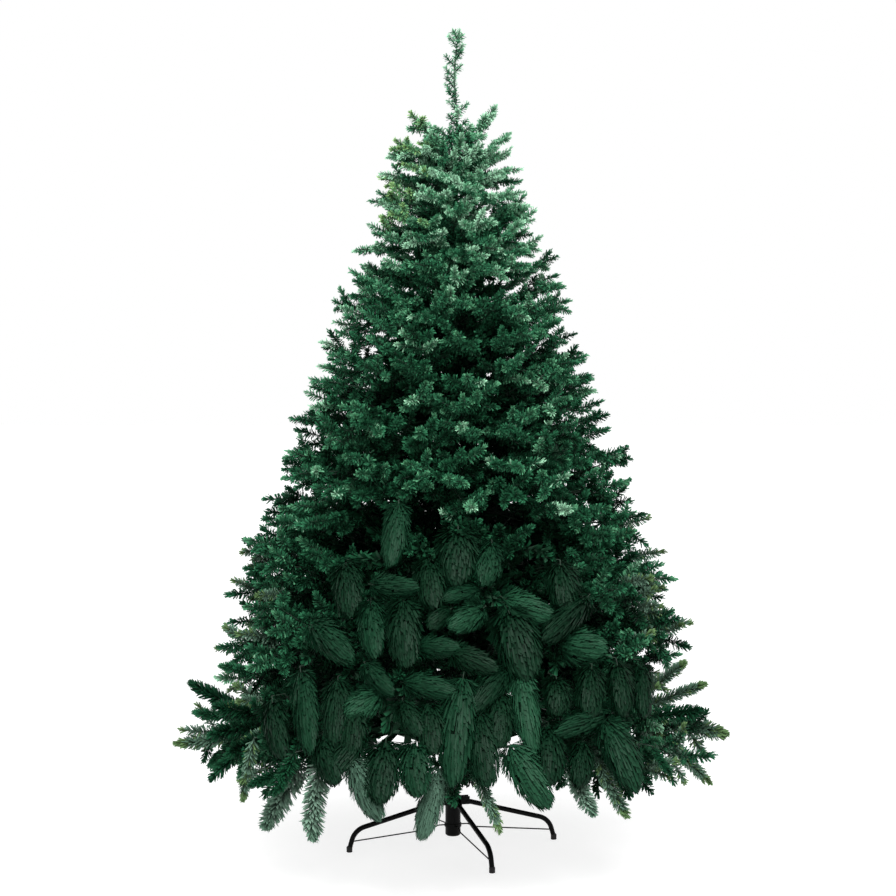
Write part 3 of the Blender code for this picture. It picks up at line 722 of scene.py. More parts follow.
placedSizes = {
    # the sprays of the front's lower part, as read off the photograph: where each one's wire begins
    # and ends in the picture, its half width in metres and its green
    # the dark greens of the lobes are painted shade low in front; the grey and ash greens of the hem's
    # fingers are painted light
    "lobes": ((458, 526, 460, 582, 0.043, "shade"), (492, 540, 488, 583, 0.031, "dusk"),
              (399, 500, 393, 562, 0.026, "dusk"), (368, 584, 415, 592, 0.026, "dusk"),
              (371, 598, 370, 655, 0.029, "dusk"), (308, 622, 350, 656, 0.032, "dusk"),
              (404, 596, 400, 664, 0.036, "shade"), (483, 588, 444, 596, 0.019, "dusk"),
              (486, 606, 454, 630, 0.028, "moss"), (452, 608, 428, 624, 0.022, "deep"),
              (500, 596, 548, 622, 0.031, "moss"), (506, 604, 532, 676, 0.047, "shade"),
              (590, 594, 548, 642, 0.035, "shade"), (554, 640, 602, 656, 0.038, "moss"),
              (414, 648, 457, 646, 0.022, "dusk"), (448, 650, 496, 668, 0.024, "deep"),
              (300, 666, 310, 748, 0.030, "dusk"), (338, 676, 336, 742, 0.030, "shade"),
              (364, 662, 388, 696, 0.024, "dusk"), (384, 690, 350, 716, 0.030, "moss"),
              (400, 682, 454, 690, 0.024, "dusk"), (464, 672, 448, 780, 0.034, "dusk"),
              (512, 664, 474, 706, 0.028, "shade"), (520, 664, 530, 750, 0.027, "moss"),
              (556, 676, 562, 714, 0.032, "deep"), (614, 712, 560, 736, 0.032, "dusk"),
              (602, 716, 642, 786, 0.042, "dusk"), (616, 658, 628, 714, 0.032, "deep"),
              (364, 730, 338, 770, 0.032, "shade"), (402, 698, 414, 736, 0.026, "shade"),
              (352, 756, 374, 820, 0.030, "haze"), (322, 732, 330, 784, 0.034, "shade"),
              (386, 738, 384, 800, 0.038, "shade"), (416, 738, 412, 794, 0.034, "dusk"),
              (440, 762, 425, 838, 0.026, "haze"), (480, 708, 482, 784, 0.034, "shade"),
              (508, 740, 543, 808, 0.034, "moss"), (548, 722, 556, 782, 0.038, "shade"),
              (582, 738, 584, 786, 0.034, "shade"), (272, 696, 276, 758, 0.034, "shade"),
              (430, 556, 428, 606, 0.034, "deep"), (346, 560, 350, 612, 0.034, "shade"),
              (560, 560, 566, 612, 0.036, "deep"), (500, 690, 504, 744, 0.030, "deep"),
              (430, 700, 428, 752, 0.032, "deep"), (592, 664, 588, 716, 0.032, "deep"),
              (640, 660, 648, 716, 0.032, "shade"), (354, 700, 352, 752, 0.032, "deep")),
    "fingers": ((568, 760, 590, 820, 0.029, "ash"), (598, 758, 623, 822, 0.024, "grey"),
                (470, 762, 506, 833, 0.020, "grey"), (652, 746, 669, 778, 0.014, "dim"),
                (660, 736, 714, 784, 0.023, "grey"), (654, 722, 731, 727, 0.030, "grey"),
                (650, 704, 708, 683, 0.022, "grey"), (648, 690, 687, 663, 0.022, "grey"),
                (256, 718, 187, 683, 0.030, "dim"), (250, 734, 173, 750, 0.027, "grey"),
                (244, 718, 191, 716, 0.020, "dark"), (258, 736, 204, 777, 0.025, "dim"),
                (254, 738, 242, 804, 0.020, "grey"), (288, 766, 250, 791, 0.020, "dim"),
                (302, 764, 261, 831, 0.040, "ash"), (322, 762, 303, 841, 0.037, "ash"),
                (256, 674, 217, 662, 0.018, "mid"), (266, 728, 206, 728, 0.032, "deep"),
                (264, 716, 212, 704, 0.030, "dim"), (262, 738, 224, 756, 0.028, "deep"),
                (652, 716, 706, 712, 0.028, "dim"), (296, 752, 276, 800, 0.026, "dim")),
    "picture": 896,
    "faceSteps": 12,
    "inset": 0.020,  # of a wire's beginning from the crown's face
    "insetSteps": (0.0, 0.018, 0.009),  # more for every second and third one, so that they overlap
    "sideways": 3.0,  # how much dearer a wire is that runs sideways
    "wireRoom": 0.035,  # straight back from a spray before its wire turns to the limb
    "wire": (0.0014, 0.0009),
    "wireShare": 0.6,
    "wireCover": 0.024,  # half width of the dark needles along such a wire, painted shade where it runs into the crown
    "seed": 9,
}
collarSizes = {
    # the inner sprays that the branches' roots carry round the pole, dark as painted shade inside the crown
    "heights": (0.245, 1.575),
    "spacing": 0.0046,
    "inset": 0.002,
    "rises": (0.25, 0.95),
    "riseSpread": 0.35,
    "cover": (0.70, 0.46),  # of the crown's reach
    "lengths": (0.75, 1.2),  # of that
    "radii": (0.038, 0.015),
    "fineFrom": 0.74,
    "seed": 41,
}
tones = {
    # the colour is dealt out by spray: a tone by height, from 0 the darkest to 4 the palest, paler towards
    # the top as painted light and darker low down as painted shade, and darker further in as painted shade
    "heights": (0.0, 0.25, 0.50, 0.85, 1.15, 1.40, 1.80),
    "centres": (1.5, 1.3, 1.1, 1.35, 1.8, 2.9, 4.0),
    "spread": 0.75,
    "inward": 0.45,  # tones darker, as painted shade, for each pair further in
    "order": ("deep", "dark", "mid", "fresh", "frost"),
    "sage": {"share": 0.60, "over": 1.38, "left": -0.05},  # of the end fingers, yellowish at the top's left
    "grey": {"share": 0.46, "under": 0.75, "outside": 0.40},  # and greyish low at both sides, painted light at the crown's edges
    "glints": {"share": 0.025, "pairs": 2},  # sprays with pale ends, on limbs' ends and outer pairs
}
twigLines = []  # (points, first radius, last radius)
sprays = []  # (tier, root, direction, length, radius, kind, green, dice)
limbPoints = []  # places on the limbs that a placed spray can grow from


def lobed(turn, height):
    # from 0 to 1, how much the lobes take over from plain fingers
    start, full = lobeSizes["sines"]
    top, filled = lobeSizes["heights"]
    around = (abs(math.sin(turn)) - start) / (full - start)
    return max(0.0, min(1.0, around, (top - height) / (top - filled)))


class Wedge:
    # the room that one branch of the crown keeps to, between two tier floors

    def __init__(self, tier, turn, halfWidth):
        self.tier = tier
        self.turn = turn
        self.halfWidth = halfWidth

    def level(self, edge, distance, turn):
        # the height of its floor or roof
        if self.tier == 0 and edge == 0:
            return hem(turn)
        floor, slope = (crownSizes[key][self.tier + edge] for key in ("tierFloors", "tierSlopes"))
        return floor + slope * distance + crownSizes["waveHeight"] * math.sin(crownSizes["waves"] * turn)

    def middle(self, distance, turn):
        return (self.level(0, distance, turn) + self.level(1, distance, turn)) / 2

    def face(self, turn):
        # the heights where floor and roof meet the crown's surface
        heights = []
        for edge in (0, 1):
            height = self.level(edge, crownSizes["reach"], turn)
            for step in range(crownSizes["faceSteps"]):
                height = self.level(edge, crownReach(height), turn)
            heights.append(height)
        return heights

    def covers(self, turn):
        return math.cos(turn - self.turn) >= math.cos(self.halfWidth)

    def targets(self, rng):
        # limbs' tips on the crown's face, each with its rise, its thickness and whether it hangs
        sizes = limbSizes
        free = sizes["hemFree"][math.sin(self.turn) > sizes["behind"]] if self.tier == 0 else 0.0
        filled = topSizes["filled"] if self.tier == topTier else 1.0 - free
        low, high = self.face(self.turn)
        width = 2 * self.halfWidth * crownReach((low + high) / 2)
        rows = round((high - low) * filled / sizes["rowHeight"])
        acrossFrom, upFrom = rng.random(), rng.random()
        for index in range(round(width * (high - low) * filled / byTier(sizes["areas"], self.tier))):
            across = (acrossFrom + index * sizes["acrossStep"]) % 1.0
            share = (upFrom + index * sizes["upStep"]) % 1.0
            if self.tier >= sizes["layeredFrom"]:
                shift = rng.uniform(-sizes["rowShift"], sizes["rowShift"])
                share = (math.floor(share * rows) + 0.5 + shift) / rows
            elif self.tier:
                share = blendSizes((-sizes["overlap"], 1.0 + sizes["overlap"]), share)
            turn = self.turn + (across * 2 - 1) * self.halfWidth
            height = blendSizes(self.face(turn), free + filled * share)
            short = rng.uniform(-sizes["over"], byTier(sizes["short"], self.tier))
            reach = crownReach(height) - short - lobed(turn, height) * lobeSizes["room"]
            rise = sizes["rises"][self.tier] + rng.uniform(-sizes["riseSpread"], sizes["riseSpread"])
            sideCosine, sideHeight = sizes["sides"]
            if abs(math.cos(turn)) > sideCosine and height < sideHeight:
                reach -= sizes["sideRoom"]
            elif math.sin(turn) < 0 and rng.random() < lobeSizes["cleared"] * lobed(turn, height):
                continue
            yield outFromAxis(turn, reach, height), rise, 1.0, False

    def topTargets(self):
        for tier, degrees, reach, height, rise, thickness in topSizes["tips"]:
            turn = math.radians(degrees)
            if tier == self.tier and self.covers(turn):
                yield outFromAxis(turn, reach, height), rise, thickness, False

    def hemTargets(self, rng):
        # the same for the hem, behind
        sizes = hemSizes
        for index in range(sizes["tips"]):
            turn = math.pi * (index + rng.uniform(*sizes["jitter"])) / sizes["tips"]
            height = hem(turn) + rng.uniform(*sizes["heights"])
            if self.covers(turn):
                reach = crownReach(height) - rng.uniform(*sizes["insets"])
                yield outFromAxis(turn, reach, height), sizes["rise"], sizes["thickness"], True


def fits(tip, hanging=False):
    # inside the crown's reach and over the hem; in front and behind only the hem's own limbs come down to it
    turn = math.atan2(tip.y, tip.x)
    lowest = hem(turn) - limbSizes["hemSlack"]
    if not hanging:
        lowest += limbSizes["frontClear"] * math.sin(turn) ** crownSizes["liftPower"]
    return math.hypot(tip.x, tip.y) <= crownReach(tip.z) + limbSizes["over"] and tip.z > lowest


def pickGreen(depth, tip, rng):
    heights, centres = tones["heights"], tones["centres"]
    step = max(index for index, height in enumerate(heights[:-1]) if tip.z >= height)
    share = (tip.z - heights[step]) / (heights[step + 1] - heights[step])
    # painted shade: the tone is darker for each pair further in, and darker behind the lobes
    centre = blendSizes((centres[step], centres[step + 1]), share) - tones["inward"] * depth
    centre -= lobeSizes["shade"] * lobed(math.atan2(tip.y, tip.x), tip.z)
    tone = round(rng.gauss(centre, tones["spread"]))
    dice = rng.random()
    sage, grey = tones["sage"], tones["grey"]
    if depth <= 0 and tip.z > sage["over"] and tip.x < sage["left"] and dice < sage["share"]:
        return "sage"
    if depth <= 0 and tip.z < grey["under"] and abs(tip.x) > grey["outside"] and dice < grey["share"]:
        return "grey"
    if depth < tones["glints"]["pairs"] and dice > 1 - tones["glints"]["share"]:
        return "glint"
    return tones["order"][max(0, min(tone, len(tones["order"]) - 1))]


def addFinger(tier, root, direction, length, radius, depth, rng, collar=False, hanging=False):
    # one bottle-brush finger on its wire, shortened until it keeps to the crown
    sizes = limbSizes
    for attempt in range(sizes["fingerTries"]):
        tip = root + direction * length
        if fits(tip, hanging):
            break
        length *= sizes["fingerCut"]
    else:
        return
    poleRoom = poleRadius(root.z) + byTier(sizes["poleRoom"], tier)
    if tier and not collar and math.hypot(root.x, root.y) < poleRoom:
        return
    kind = "fine" if tier < sizes["smallFrom"] else "small"
    if hanging:
        kind = "hanging"
        depth -= hemSizes["nearer"]
    elif depth >= byTier(sizes["densePairs"], tier):
        kind = "coarse"
    green = pickGreen(depth, tip, rng)
    # coarse sprays take only dark greens, painted shade deep in the crown
    if kind == "coarse" and green not in kindGreens["coarse"]:
        green = "dark"
    sprays.append((tier, root, direction, length, radius, kind, green, rng.random()))
    twigLines.append(([root, root + direction * length * sizes["wireShare"]], *sizes["fingerWire"]))


def growLimb(tier, foot, target, rise, thickness, hanging, rng):
    # a limb from the stem to the crown's face: an end finger, and pairs of side fingers back along it
    sizes = limbSizes
    fingerLength = byTier(sizes["fingerLengths"], tier) * (hemSizes["stretch"] if hanging else 1.0)
    fingerRadius = byTier(sizes["fingerRadii"], tier) * thickness
    outward = Vector((target.x, target.y, 0)).normalized()
    endDirection = ((target - foot).normalized() + outward + Vector((0, 0, rise))).normalized()
    endLength = fingerLength * rng.uniform(*sizes["endLengths"])
    limbEnd = target - endDirection * endLength
    bend = limbEnd - endDirection * (limbEnd - foot).length * sizes["bend"]
    steps = sizes["steps"]
    line = []
    for t in (step / steps for step in range(steps + 1)):
        line.append(foot * (1 - t) ** 2 + bend * 2 * t * (1 - t) + limbEnd * t ** 2)
    twigLines.append((line, *sizes["limbWire"]))
    endRadius = fingerRadius * rng.uniform(*sizes["endRadii"])
    addFinger(tier, limbEnd, endDirection, endLength, endRadius, 0, rng, hanging=hanging)
    spacing = byTier(sizes["nodeSpacing"], tier)
    pairRoll = byTier(sizes["pairRolls"], tier)
    limbLength = sum((b - a).length for a, b in zip(line, line[1:]))
    back = spacing * rng.uniform(*sizes["firstNodes"])
    depth = 0
    pairs = hemSizes["pairs"] if hanging else sizes["pairs"]
    while back < limbLength * sizes["bareShare"] and depth < pairs:
        place = (1 - back / limbLength) * steps
        index = min(int(place), steps - 1)
        root = line[index].lerp(line[index + 1], place - index)
        along = endDirection if depth == 0 else (line[index + 1] - line[index]).normalized()
        across = along.cross(up).normalized()
        roll = Quaternion(along, math.radians(rng.uniform(-pairRoll, pairRoll)))
        for hand in (-1, 1):
            spread = math.radians(rng.uniform(*sizes["fingerSpread"]))
            side = roll @ (across * hand)
            direction = (along * math.cos(spread) + side * math.sin(spread)).normalized()
            length = fingerLength * rng.uniform(*sizes["sideLengths"])
            start = root + along * rng.uniform(0.0, spacing * sizes["handShift"])
            radius = fingerRadius * rng.uniform(*sizes["sideRadii"])
            addFinger(tier, start, direction, length, radius, depth, rng, hanging=hanging)
        back += spacing * rng.uniform(*sizes["nodeJitter"])
        depth += 1
    return line


def hangLobes(tier, limb, target, rng):
    # behind, a fan of soft lobes from one point just inside the crown's face
    sizes = lobeSizes
    turn = math.atan2(target.y, target.x) + rng.uniform(-sizes["turnSpread"], sizes["turnSpread"])
    droop = math.radians(rng.uniform(*sizes["droops"]))
    hang = outFromAxis(turn, math.cos(droop), -math.sin(droop))
    sideways = outFromAxis(turn + math.pi / 2, 1.0, 0.0)
    height = target.z + sizes["over"]
    root = outFromAxis(turn, crownReach(height) - rng.uniform(*sizes["insets"]), height)
    foot = min(limb, key=lambda point: (point - root).length)
    if (foot - root).length > sizes["farthest"] or root.y < 0:
        return
    twigLines.append(([foot, root], *sizes["fanWire"]))
    count = rng.randint(*sizes["inFan"])
    lean = rng.uniform(-sizes["fanLean"], sizes["fanLean"])
    for index in range(count):
        spread = (index - (count - 1) / 2) * sizes["fanSpread"]
        aside = math.radians(lean + spread + rng.uniform(-sizes["fanJitter"], sizes["fanJitter"]))
        direction = hang * math.cos(aside) + sideways * math.sin(aside)
        length = rng.uniform(*sizes["lengths"])
        radius = rng.uniform(*sizes["radii"])
        green = rng.choices(sizes["greens"], sizes["greenShares"])[0]
        dice = rng.random()
        for attempt in range(sizes["tries"]):
            if fits(root + direction * length):
                behind = root - direction * sizes["overlap"]
                whole = length + sizes["overlap"]
                sprays.append((tier, behind, direction, whole, radius, "paddle", green, dice))
                wireEnd = root + direction * length * sizes["wireShare"]
                twigLines.append(([root, wireEnd], *sizes["lobeWire"]))
                break
            length *= sizes["cut"]


def branchAxis(turn, rootHeight, tipHeight):
    # a branch's tip, the point of the pole's axis that it points from, its heading, and how level that is
    tip = outFromAxis(turn, crownReach(tipHeight) - crownSizes["tipInset"], tipHeight)
    axisPoint = outFromAxis(turn, 0, rootHeight)
    heading = (tip - axisPoint).normalized()
    return tip, axisPoint, heading, math.hypot(heading.x, heading.y)


def growBranch(tier, number, count):
    # one mass: its stem from the pole or from its bough's end, and limbs that fan out from it
    rng = random.Random(1000 * tier + number)
    turn = tier * crownSizes["tierTurn"] + math.tau * number / count
    wedge = Wedge(tier, turn, math.pi / count)
    rootHeight = crownSizes["lowestRoot"] if tier == 0 else wedge.middle(0.0, turn)
    tipHeight = crownSizes["lowestTip"] if tier == 0 else sum(wedge.face(turn)) / 2
    tip, axisPoint, heading, level = branchAxis(turn, rootHeight, tipHeight)
    start = crownSizes["boughEnd"] if tier == 0 else poleRadius(rootHeight) + crownSizes["gap"]
    stemFrom = axisPoint + heading * start / level
    stemTo = tip - heading * byTier(limbSizes["fingerLengths"], tier)
    stem = stemTo - stemFrom
    twigLines.append(([stemFrom, stemFrom + stem / 2, stemTo], *limbSizes["stemWire"]))
    limbLength = byTier(limbSizes["lengths"], tier)
    aims = [(tip, limbSizes["rises"][tier], 1.0, False), *wedge.targets(rng), *wedge.topTargets()]
    if tier == 0:
        aims += wedge.hemTargets(random.Random(number))
    for target, rise, thickness, hanging in aims:
        along = (target - stemFrom).dot(stem) / stem.length - limbLength
        foot = stemFrom + stem.normalized() * max(limbSizes["nearestFoot"], min(along, stem.length))
        limb = growLimb(tier, foot, target, rise, thickness, hanging, rng)
        limbPoints.extend(limb)
        shares = lobeSizes["shares"]
        around = math.atan2(target.y, target.x)
        if tier < len(shares) and rng.random() < shares[tier] * lobed(around, target.z):
            hangLobes(tier, limb, target, rng)


def seenAt(across, down, depth):
    # the point at this depth that the camera sees at a place of the picture
    size = placedSizes["picture"]
    eye = Vector(studio["cameraPlace"])
    look = (Vector(studio["cameraAim"]) - eye).to_track_quat("-Z", "Y")
    away = size * studio["focalLength"] / studio["sensorWidth"]
    ray = look @ Vector((across - size / 2, size / 2 - down, -away))
    return eye + ray * (depth - eye.y) / ray.y


def faceDepth(across, down):
    # how near the crown's face comes at a place of the picture
    depth = 0.0
    for step in range(placedSizes["faceSteps"]):
        point = seenAt(across, down, depth)
        depth = -math.sqrt(max(0.0, crownReach(point.z) ** 2 - point.x ** 2))
    return depth


def wireCost(wire, outward):
    # a wire had better be short, and run straight back rather than sideways
    inward = wire.dot(outward)
    aside = (wire - outward * inward).length
    return wire.length + placedSizes["sideways"] * aside + (inward < placedSizes["wireRoom"])


def growPlaced():
    # the lobes and hem fingers of the front, each on a wire from the nearest limb
    sizes = placedSizes
    rng = random.Random(sizes["seed"])
    for kind, rows in (("paddle", sizes["lobes"]), ("hanging", sizes["fingers"])):
        for index, (fromAcross, fromDown, toAcross, toDown, radius, green) in enumerate(rows):
            endDepth = faceDepth(toAcross, toDown)
            inset = sizes["inset"] + sizes["insetSteps"][index % len(sizes["insetSteps"])]
            root = seenAt(fromAcross, fromDown, max(faceDepth(fromAcross, fromDown), endDepth) + inset)
            end = seenAt(toAcross, toDown, endDepth)
            tier = tierAt(end.z)
            length = (end - root).length
            direction = (end - root) / length
            sprays.append((tier, root, direction, length, radius, kind, green, rng.random()))
            outward = Vector((root.x, root.y, 0.0)).normalized()
            foot = min(limbPoints, key=lambda point: wireCost(root - point, outward))
            behind = root - outward * sizes["wireRoom"]
            wireEnd = root + direction * length * sizes["wireShare"]
            twigLines.append(([foot, behind, root, wireEnd], *sizes["wire"]))
            wire = root - foot
            # the wire's cover is deep green, painted shade inside the crown
            cover = (sizes["wireCover"], "coarse", "deep", rng.random())
            sprays.append((tier, foot, wire.normalized(), wire.length, *cover))


def growCollar():
    sizes = collarSizes
    rng = random.Random(sizes["seed"])
    low, high = sizes["heights"]
    for index in range(int((high - low) / sizes["spacing"])):
        height = low + index * sizes["spacing"]
        share = (height - low) / (high - low)
        turn = index * goldenTurn
        root = outFromAxis(turn, poleRadius(height) + sizes["inset"], height)
        rise = blendSizes(sizes["rises"], share) + rng.uniform(-sizes["riseSpread"], sizes["riseSpread"])
        direction = outFromAxis(turn, 1.0, rise).normalized()
        length = blendSizes(sizes["cover"], share) * crownReach(height) * rng.uniform(*sizes["lengths"])
        radius = blendSizes(sizes["radii"], share)
        # low down they take the greens of many pairs further in: painted shade
        depth = 1 if share > sizes["fineFrom"] else limbSizes["pairs"]
        addFinger(tierAt(height), root, direction, length, radius, depth, rng, collar=True)


leaderSizes = {
    "lean": 0.012,
    "sway": (0.005, 0.003),  # across and towards the camera
    "swayTurns": (math.tau * 1.1, 5.0),  # radians from its foot to its tip
    "overTip": 0.008,  # how far its last needles stand over the height of the solids
    "steps": 14,
    "stemRadii": (0.0028, 0.0014),
    "sleeveLength": 0.052,
    "sleeveStep": 0.75,  # of a sleeve's length to the next one
    "sleeveRadius": 0.0130,
    "sleeveSpread": (0.8, 1.2),
    # share of the leader's height and turn of each side tuft
    "tufts": ((0.05, 0.2), (0.09, 3.3), (0.13, 5.4), (0.17, 2.2), (0.21, 0.1), (0.25, 3.6), (0.29, 4.9),
              (0.33, 6.2), (0.37, 2.9), (0.43, 3.9), (0.48, 3.3), (0.54, 2.6), (0.60, 3.6), (0.65, 0.4),
              (0.70, 2.9), (0.75, 6.1), (0.80, 0.4), (0.85, 3.5), (0.88, 0.9), (0.91, 2.4)),
    "tuftAside": 0.85,
    "tuftLengths": (0.030, 0.044),
    "tuftRadius": 0.0130,
    "tuftSpread": (0.85, 1.15),
    "tuftNodes": (0.0, 0.4, 0.7),  # of a tuft's length, the points of its wire
    "tuftWire": (0.0012, 0.0008),
    "greens": ("mid", "fresh", "fresh", "frost"),
    "seed": 77,
}


def growLeader():
    # the top shoot: a slightly wavy wire in a ragged sleeve of short needles, with tufts at its side buds
    sizes = leaderSizes
    rng = random.Random(sizes["seed"])
    foot = poleSizes["sections"][-1][1] + crownSizes["gap"]
    top = crownSizes["treeHeight"] + sizes["overTip"]

    def shootPoint(share):
        x, y = (sway * math.sin(share * turns) for sway, turns in zip(sizes["sway"], sizes["swayTurns"]))
        return Vector((sizes["lean"] * share + x, y, blendSizes((foot, top), share)))

    def addTuft(root, direction, length, radius, spread):
        radius *= rng.uniform(*spread)
        green = rng.choice(sizes["greens"])
        sprays.append((leaderTier, root, direction, length, radius, "thin", green, rng.random()))

    steps = sizes["steps"]
    twigLines.append(([shootPoint(step / steps) for step in range(steps - 1)], *sizes["stemRadii"]))
    shootLength = top - foot
    sleeves = math.ceil(shootLength / (sizes["sleeveLength"] * sizes["sleeveStep"]))
    for share in (index / sleeves for index in range(sleeves)):
        root = shootPoint(share)
        ahead = min(1.0, share + sizes["sleeveLength"] / shootLength)
        direction = (shootPoint(ahead) - root).normalized()
        length = min(sizes["sleeveLength"], (top - root.z) / direction.z)
        addTuft(root, direction, length, sizes["sleeveRadius"], sizes["sleeveSpread"])
    for share, turn in sizes["tufts"]:
        root = shootPoint(share)
        direction = outFromAxis(turn, sizes["tuftAside"], 1.0).normalized()
        length = rng.uniform(*sizes["tuftLengths"])
        addTuft(root, direction, length, sizes["tuftRadius"], sizes["tuftSpread"])
        points = [root + direction * length * node for node in sizes["tuftNodes"]]
        twigLines.append((points, *sizes["tuftWire"]))


# needle sprays

needleSizes = {
    "rootWidth": 0.6,  # of the needle's own width
    "slant": 0.16,  # of its length, cut off on one side
    "twist": 0.35,
    "tipShifts": (-0.08, 0.22),  # of its width, at the cut side and at the other
    "crowding": 0.72,  # under 1, the needles stand closer towards the end
    "turnSpread": 0.3,
    "widths": (0.85, 1.15),
    "steepest": 0.5,  # the least lean, in radians, that a needle's length is reckoned by
    "longest": 1.05,  # of the spray's radius
    "longestCut": 0.98,  # a needle is cut to between its kind's shortest share and this one
    "freshFrom": 0.88,  # needles past this share of the spray are in the tip's green, painted light on its end
    "freshStrays": 0.14,
    "freshLonger": 0.06,
    "seed": 500,
}
sprayKinds = {
    # leans are the needles' degrees from the wire at the foot, where the dome begins and at the end,
    # bends are how far the spray's tip is turned aside, flat is its thickness for its width
    "fine": {"needles": 112, "length": 0.095, "radius": 0.0195, "width": 0.0036, "leans": (84, 64, 10),
             "dome": 0.70, "shortest": 0.74, "unruly": 17, "bends": (-0.14, 0.0, 0.14), "flat": 1.0},
    "small": {"needles": 96, "length": 0.065, "radius": 0.0135, "width": 0.0026, "leans": (82, 64, 10),
              "dome": 0.70, "shortest": 0.60, "unruly": 20, "bends": (-0.14, 0.0, 0.14), "flat": 1.0},
    "coarse": {"needles": 50, "length": 0.120, "radius": 0.0280, "width": 0.0078, "leans": (80, 60, 20),
               "dome": 0.80, "shortest": 0.64, "unruly": 18, "bends": (-0.06, 0.06), "flat": 1.0},
    "paddle": {"needles": 600, "length": 0.136, "radius": 0.0310, "width": 0.0032,
               "unruly": 9, "bends": (-0.05, 0.05), "flat": 0.62},
    "hanging": {"needles": 400, "length": 0.130, "radius": 0.0200, "width": 0.0027, "leans": (50, 42, 8),
                "dome": 0.82, "shortest": 0.86, "unruly": 9, "bends": (-0.08, 0.08), "flat": 1.0},
    "thin": {"needles": 40, "length": 0.052, "radius": 0.0120, "width": 0.0028, "leans": (74, 60, 16),
             "dome": 0.80, "shortest": 0.55, "unruly": 22, "bends": (0.0,), "flat": 1.0},
}
lobeNeedles = {
    # a lobe's needles lie along its round side: a few wide ones under a fine pile
    "droop": 0.08,  # of its length
    "rootDepth": 0.88,  # of the lobe's half width, where they stand
    "rootEnds": (0.05, 0.90),  # of the way round from its foot to its end
    "bluntness": 0.55,  # under 1, the lobe is fuller at its ends than an ellipse
    "length": 0.024,
    "lengths": (0.8, 1.1),  # of that
    "raise": math.radians(11),
    "roll": 0.45,
    "paling": 0.55,
    "wideOnes": 6,  # one needle in so many is a wide one
    "wideDepth": 0.77,
    "wider": 5.2,
}
aimTurns = {"lobe": 0.6, "finger": 40.0}  # radians that chance turns a spray about its wire
greenPairs = {  # the green of a spray's body and of its tip; a paler tip is painted light on the spray's end
    "deep": ("deep", "dark"),
    "dark": ("dark", "mid"),
    "mid": ("mid", "fresh"),
    "fresh": ("fresh", "frost"),
    "frost": ("frost", "frost"),
    "sage": ("sage", "lime"),
    "glint": ("mid", "frost"),
    "grey": ("grey", "olive"),
    "ash": ("ash", "grey"),
    "haze": ("haze", "haze"),
    "dim": ("dark", "dusk"),
    "shade": ("shade", "shade"),
    "dusk": ("dusk", "dusk"),
    "moss": ("moss", "moss"),
}
kindGreens = {
    "fine": ("deep", "dark", "mid", "fresh", "frost", "sage", "glint", "grey"),
    "small": ("deep", "dark", "mid", "fresh", "frost", "sage", "glint"),
    "coarse": ("deep", "dark"),
    "paddle": ("deep", "shade", "dusk", "moss", "haze"),
    "hanging": ("deep", "dark", "mid", "fresh", "frost", "sage", "glint", "grey", "dim", "ash"),
    "thin": ("mid", "fresh", "frost"),
}


def moveCorners(needle, chosen, operator, **values):
    # selects some of the needle's corners and moves them in edit mode
    for vertex in needle.data.vertices:
        vertex.select = chosen(vertex.co)
    bpy.ops.object.mode_set(mode="EDIT")
    operator(**values)
    bpy.ops.object.mode_set(mode="OBJECT")


def makeNeedle():
    # one strip of film, one unit wide and long, standing on its root: narrowed there and cut off at a slant
    sizes = needleSizes
    deselectAll()
    bpy.ops.mesh.primitive_plane_add(size=1.0, location=(0, 0, 0.5), rotation=(math.pi / 2, 0, 0))
    needle = bpy.context.object
    applyPlace(needle)
    bpy.ops.object.mode_set(mode="EDIT")
    bpy.ops.mesh.select_mode(type="VERT")
    bpy.ops.mesh.select_all(action="DESELECT")
    bpy.ops.object.mode_set(mode="OBJECT")
    cutSide, otherSide = sizes["tipShifts"]
    moveCorners(needle, lambda corner: corner.z < 0.5, bpy.ops.transform.resize,
                value=(sizes["rootWidth"], 1, 1), center_override=(0, 0, 0))
    moveCorners(needle, lambda corner: corner.z > 0.5 and corner.x > 0, bpy.ops.transform.translate,
                value=(cutSide, sizes["twist"], -sizes["slant"]))
    moveCorners(needle, lambda corner: corner.z > 0.5 and corner.x < 0, bpy.ops.transform.translate,
                value=(otherSide, 0, 0))
    return needle


def needleLean(share, sizes):
    # degrees from the wire: nearly square to it at first, then forward, and closed over the end as a dome
    foot, shoulder, end = sizes["leans"]
    if share < sizes["dome"]:
        return blendSizes((foot, shoulder), share / sizes["dome"])
    return blendSizes((shoulder, end), (share - sizes["dome"]) / (1 - sizes["dome"]))


def fingerNeedles(sizes, rng):
    # needles up a wire by the golden turn: root, turning, length, width, and whether in the tip's green
    rules = needleSizes
    radius, unruly, turnSpread = sizes["radius"], sizes["unruly"], rules["turnSpread"]
    for index in range(sizes["needles"]):
        share = ((index + rng.random()) / sizes["needles"]) ** rules["crowding"]
        lean = math.radians(needleLean(share, sizes) + rng.uniform(-unruly, unruly))
        around = index * goldenTurn + rng.uniform(-turnSpread, turnSpread)
        fresh = share > rules["freshFrom"] or rng.random() < rules["freshStrays"]
        length = min(radius / math.sin(max(abs(lean), rules["steepest"])), radius * rules["longest"])
        length *= rng.uniform(sizes["shortest"], rules["longestCut"]) + rules["freshLonger"] * fresh
        root = Vector((0, 0, share * (sizes["length"] - radius)))
        roll = rng.uniform(0, math.pi)
        turning = Quaternion(up, around) @ Quaternion((0, 1, 0), lean) @ Quaternion(up, roll)
        yield root, turning, length, sizes["width"] * rng.uniform(*rules["widths"]), fresh


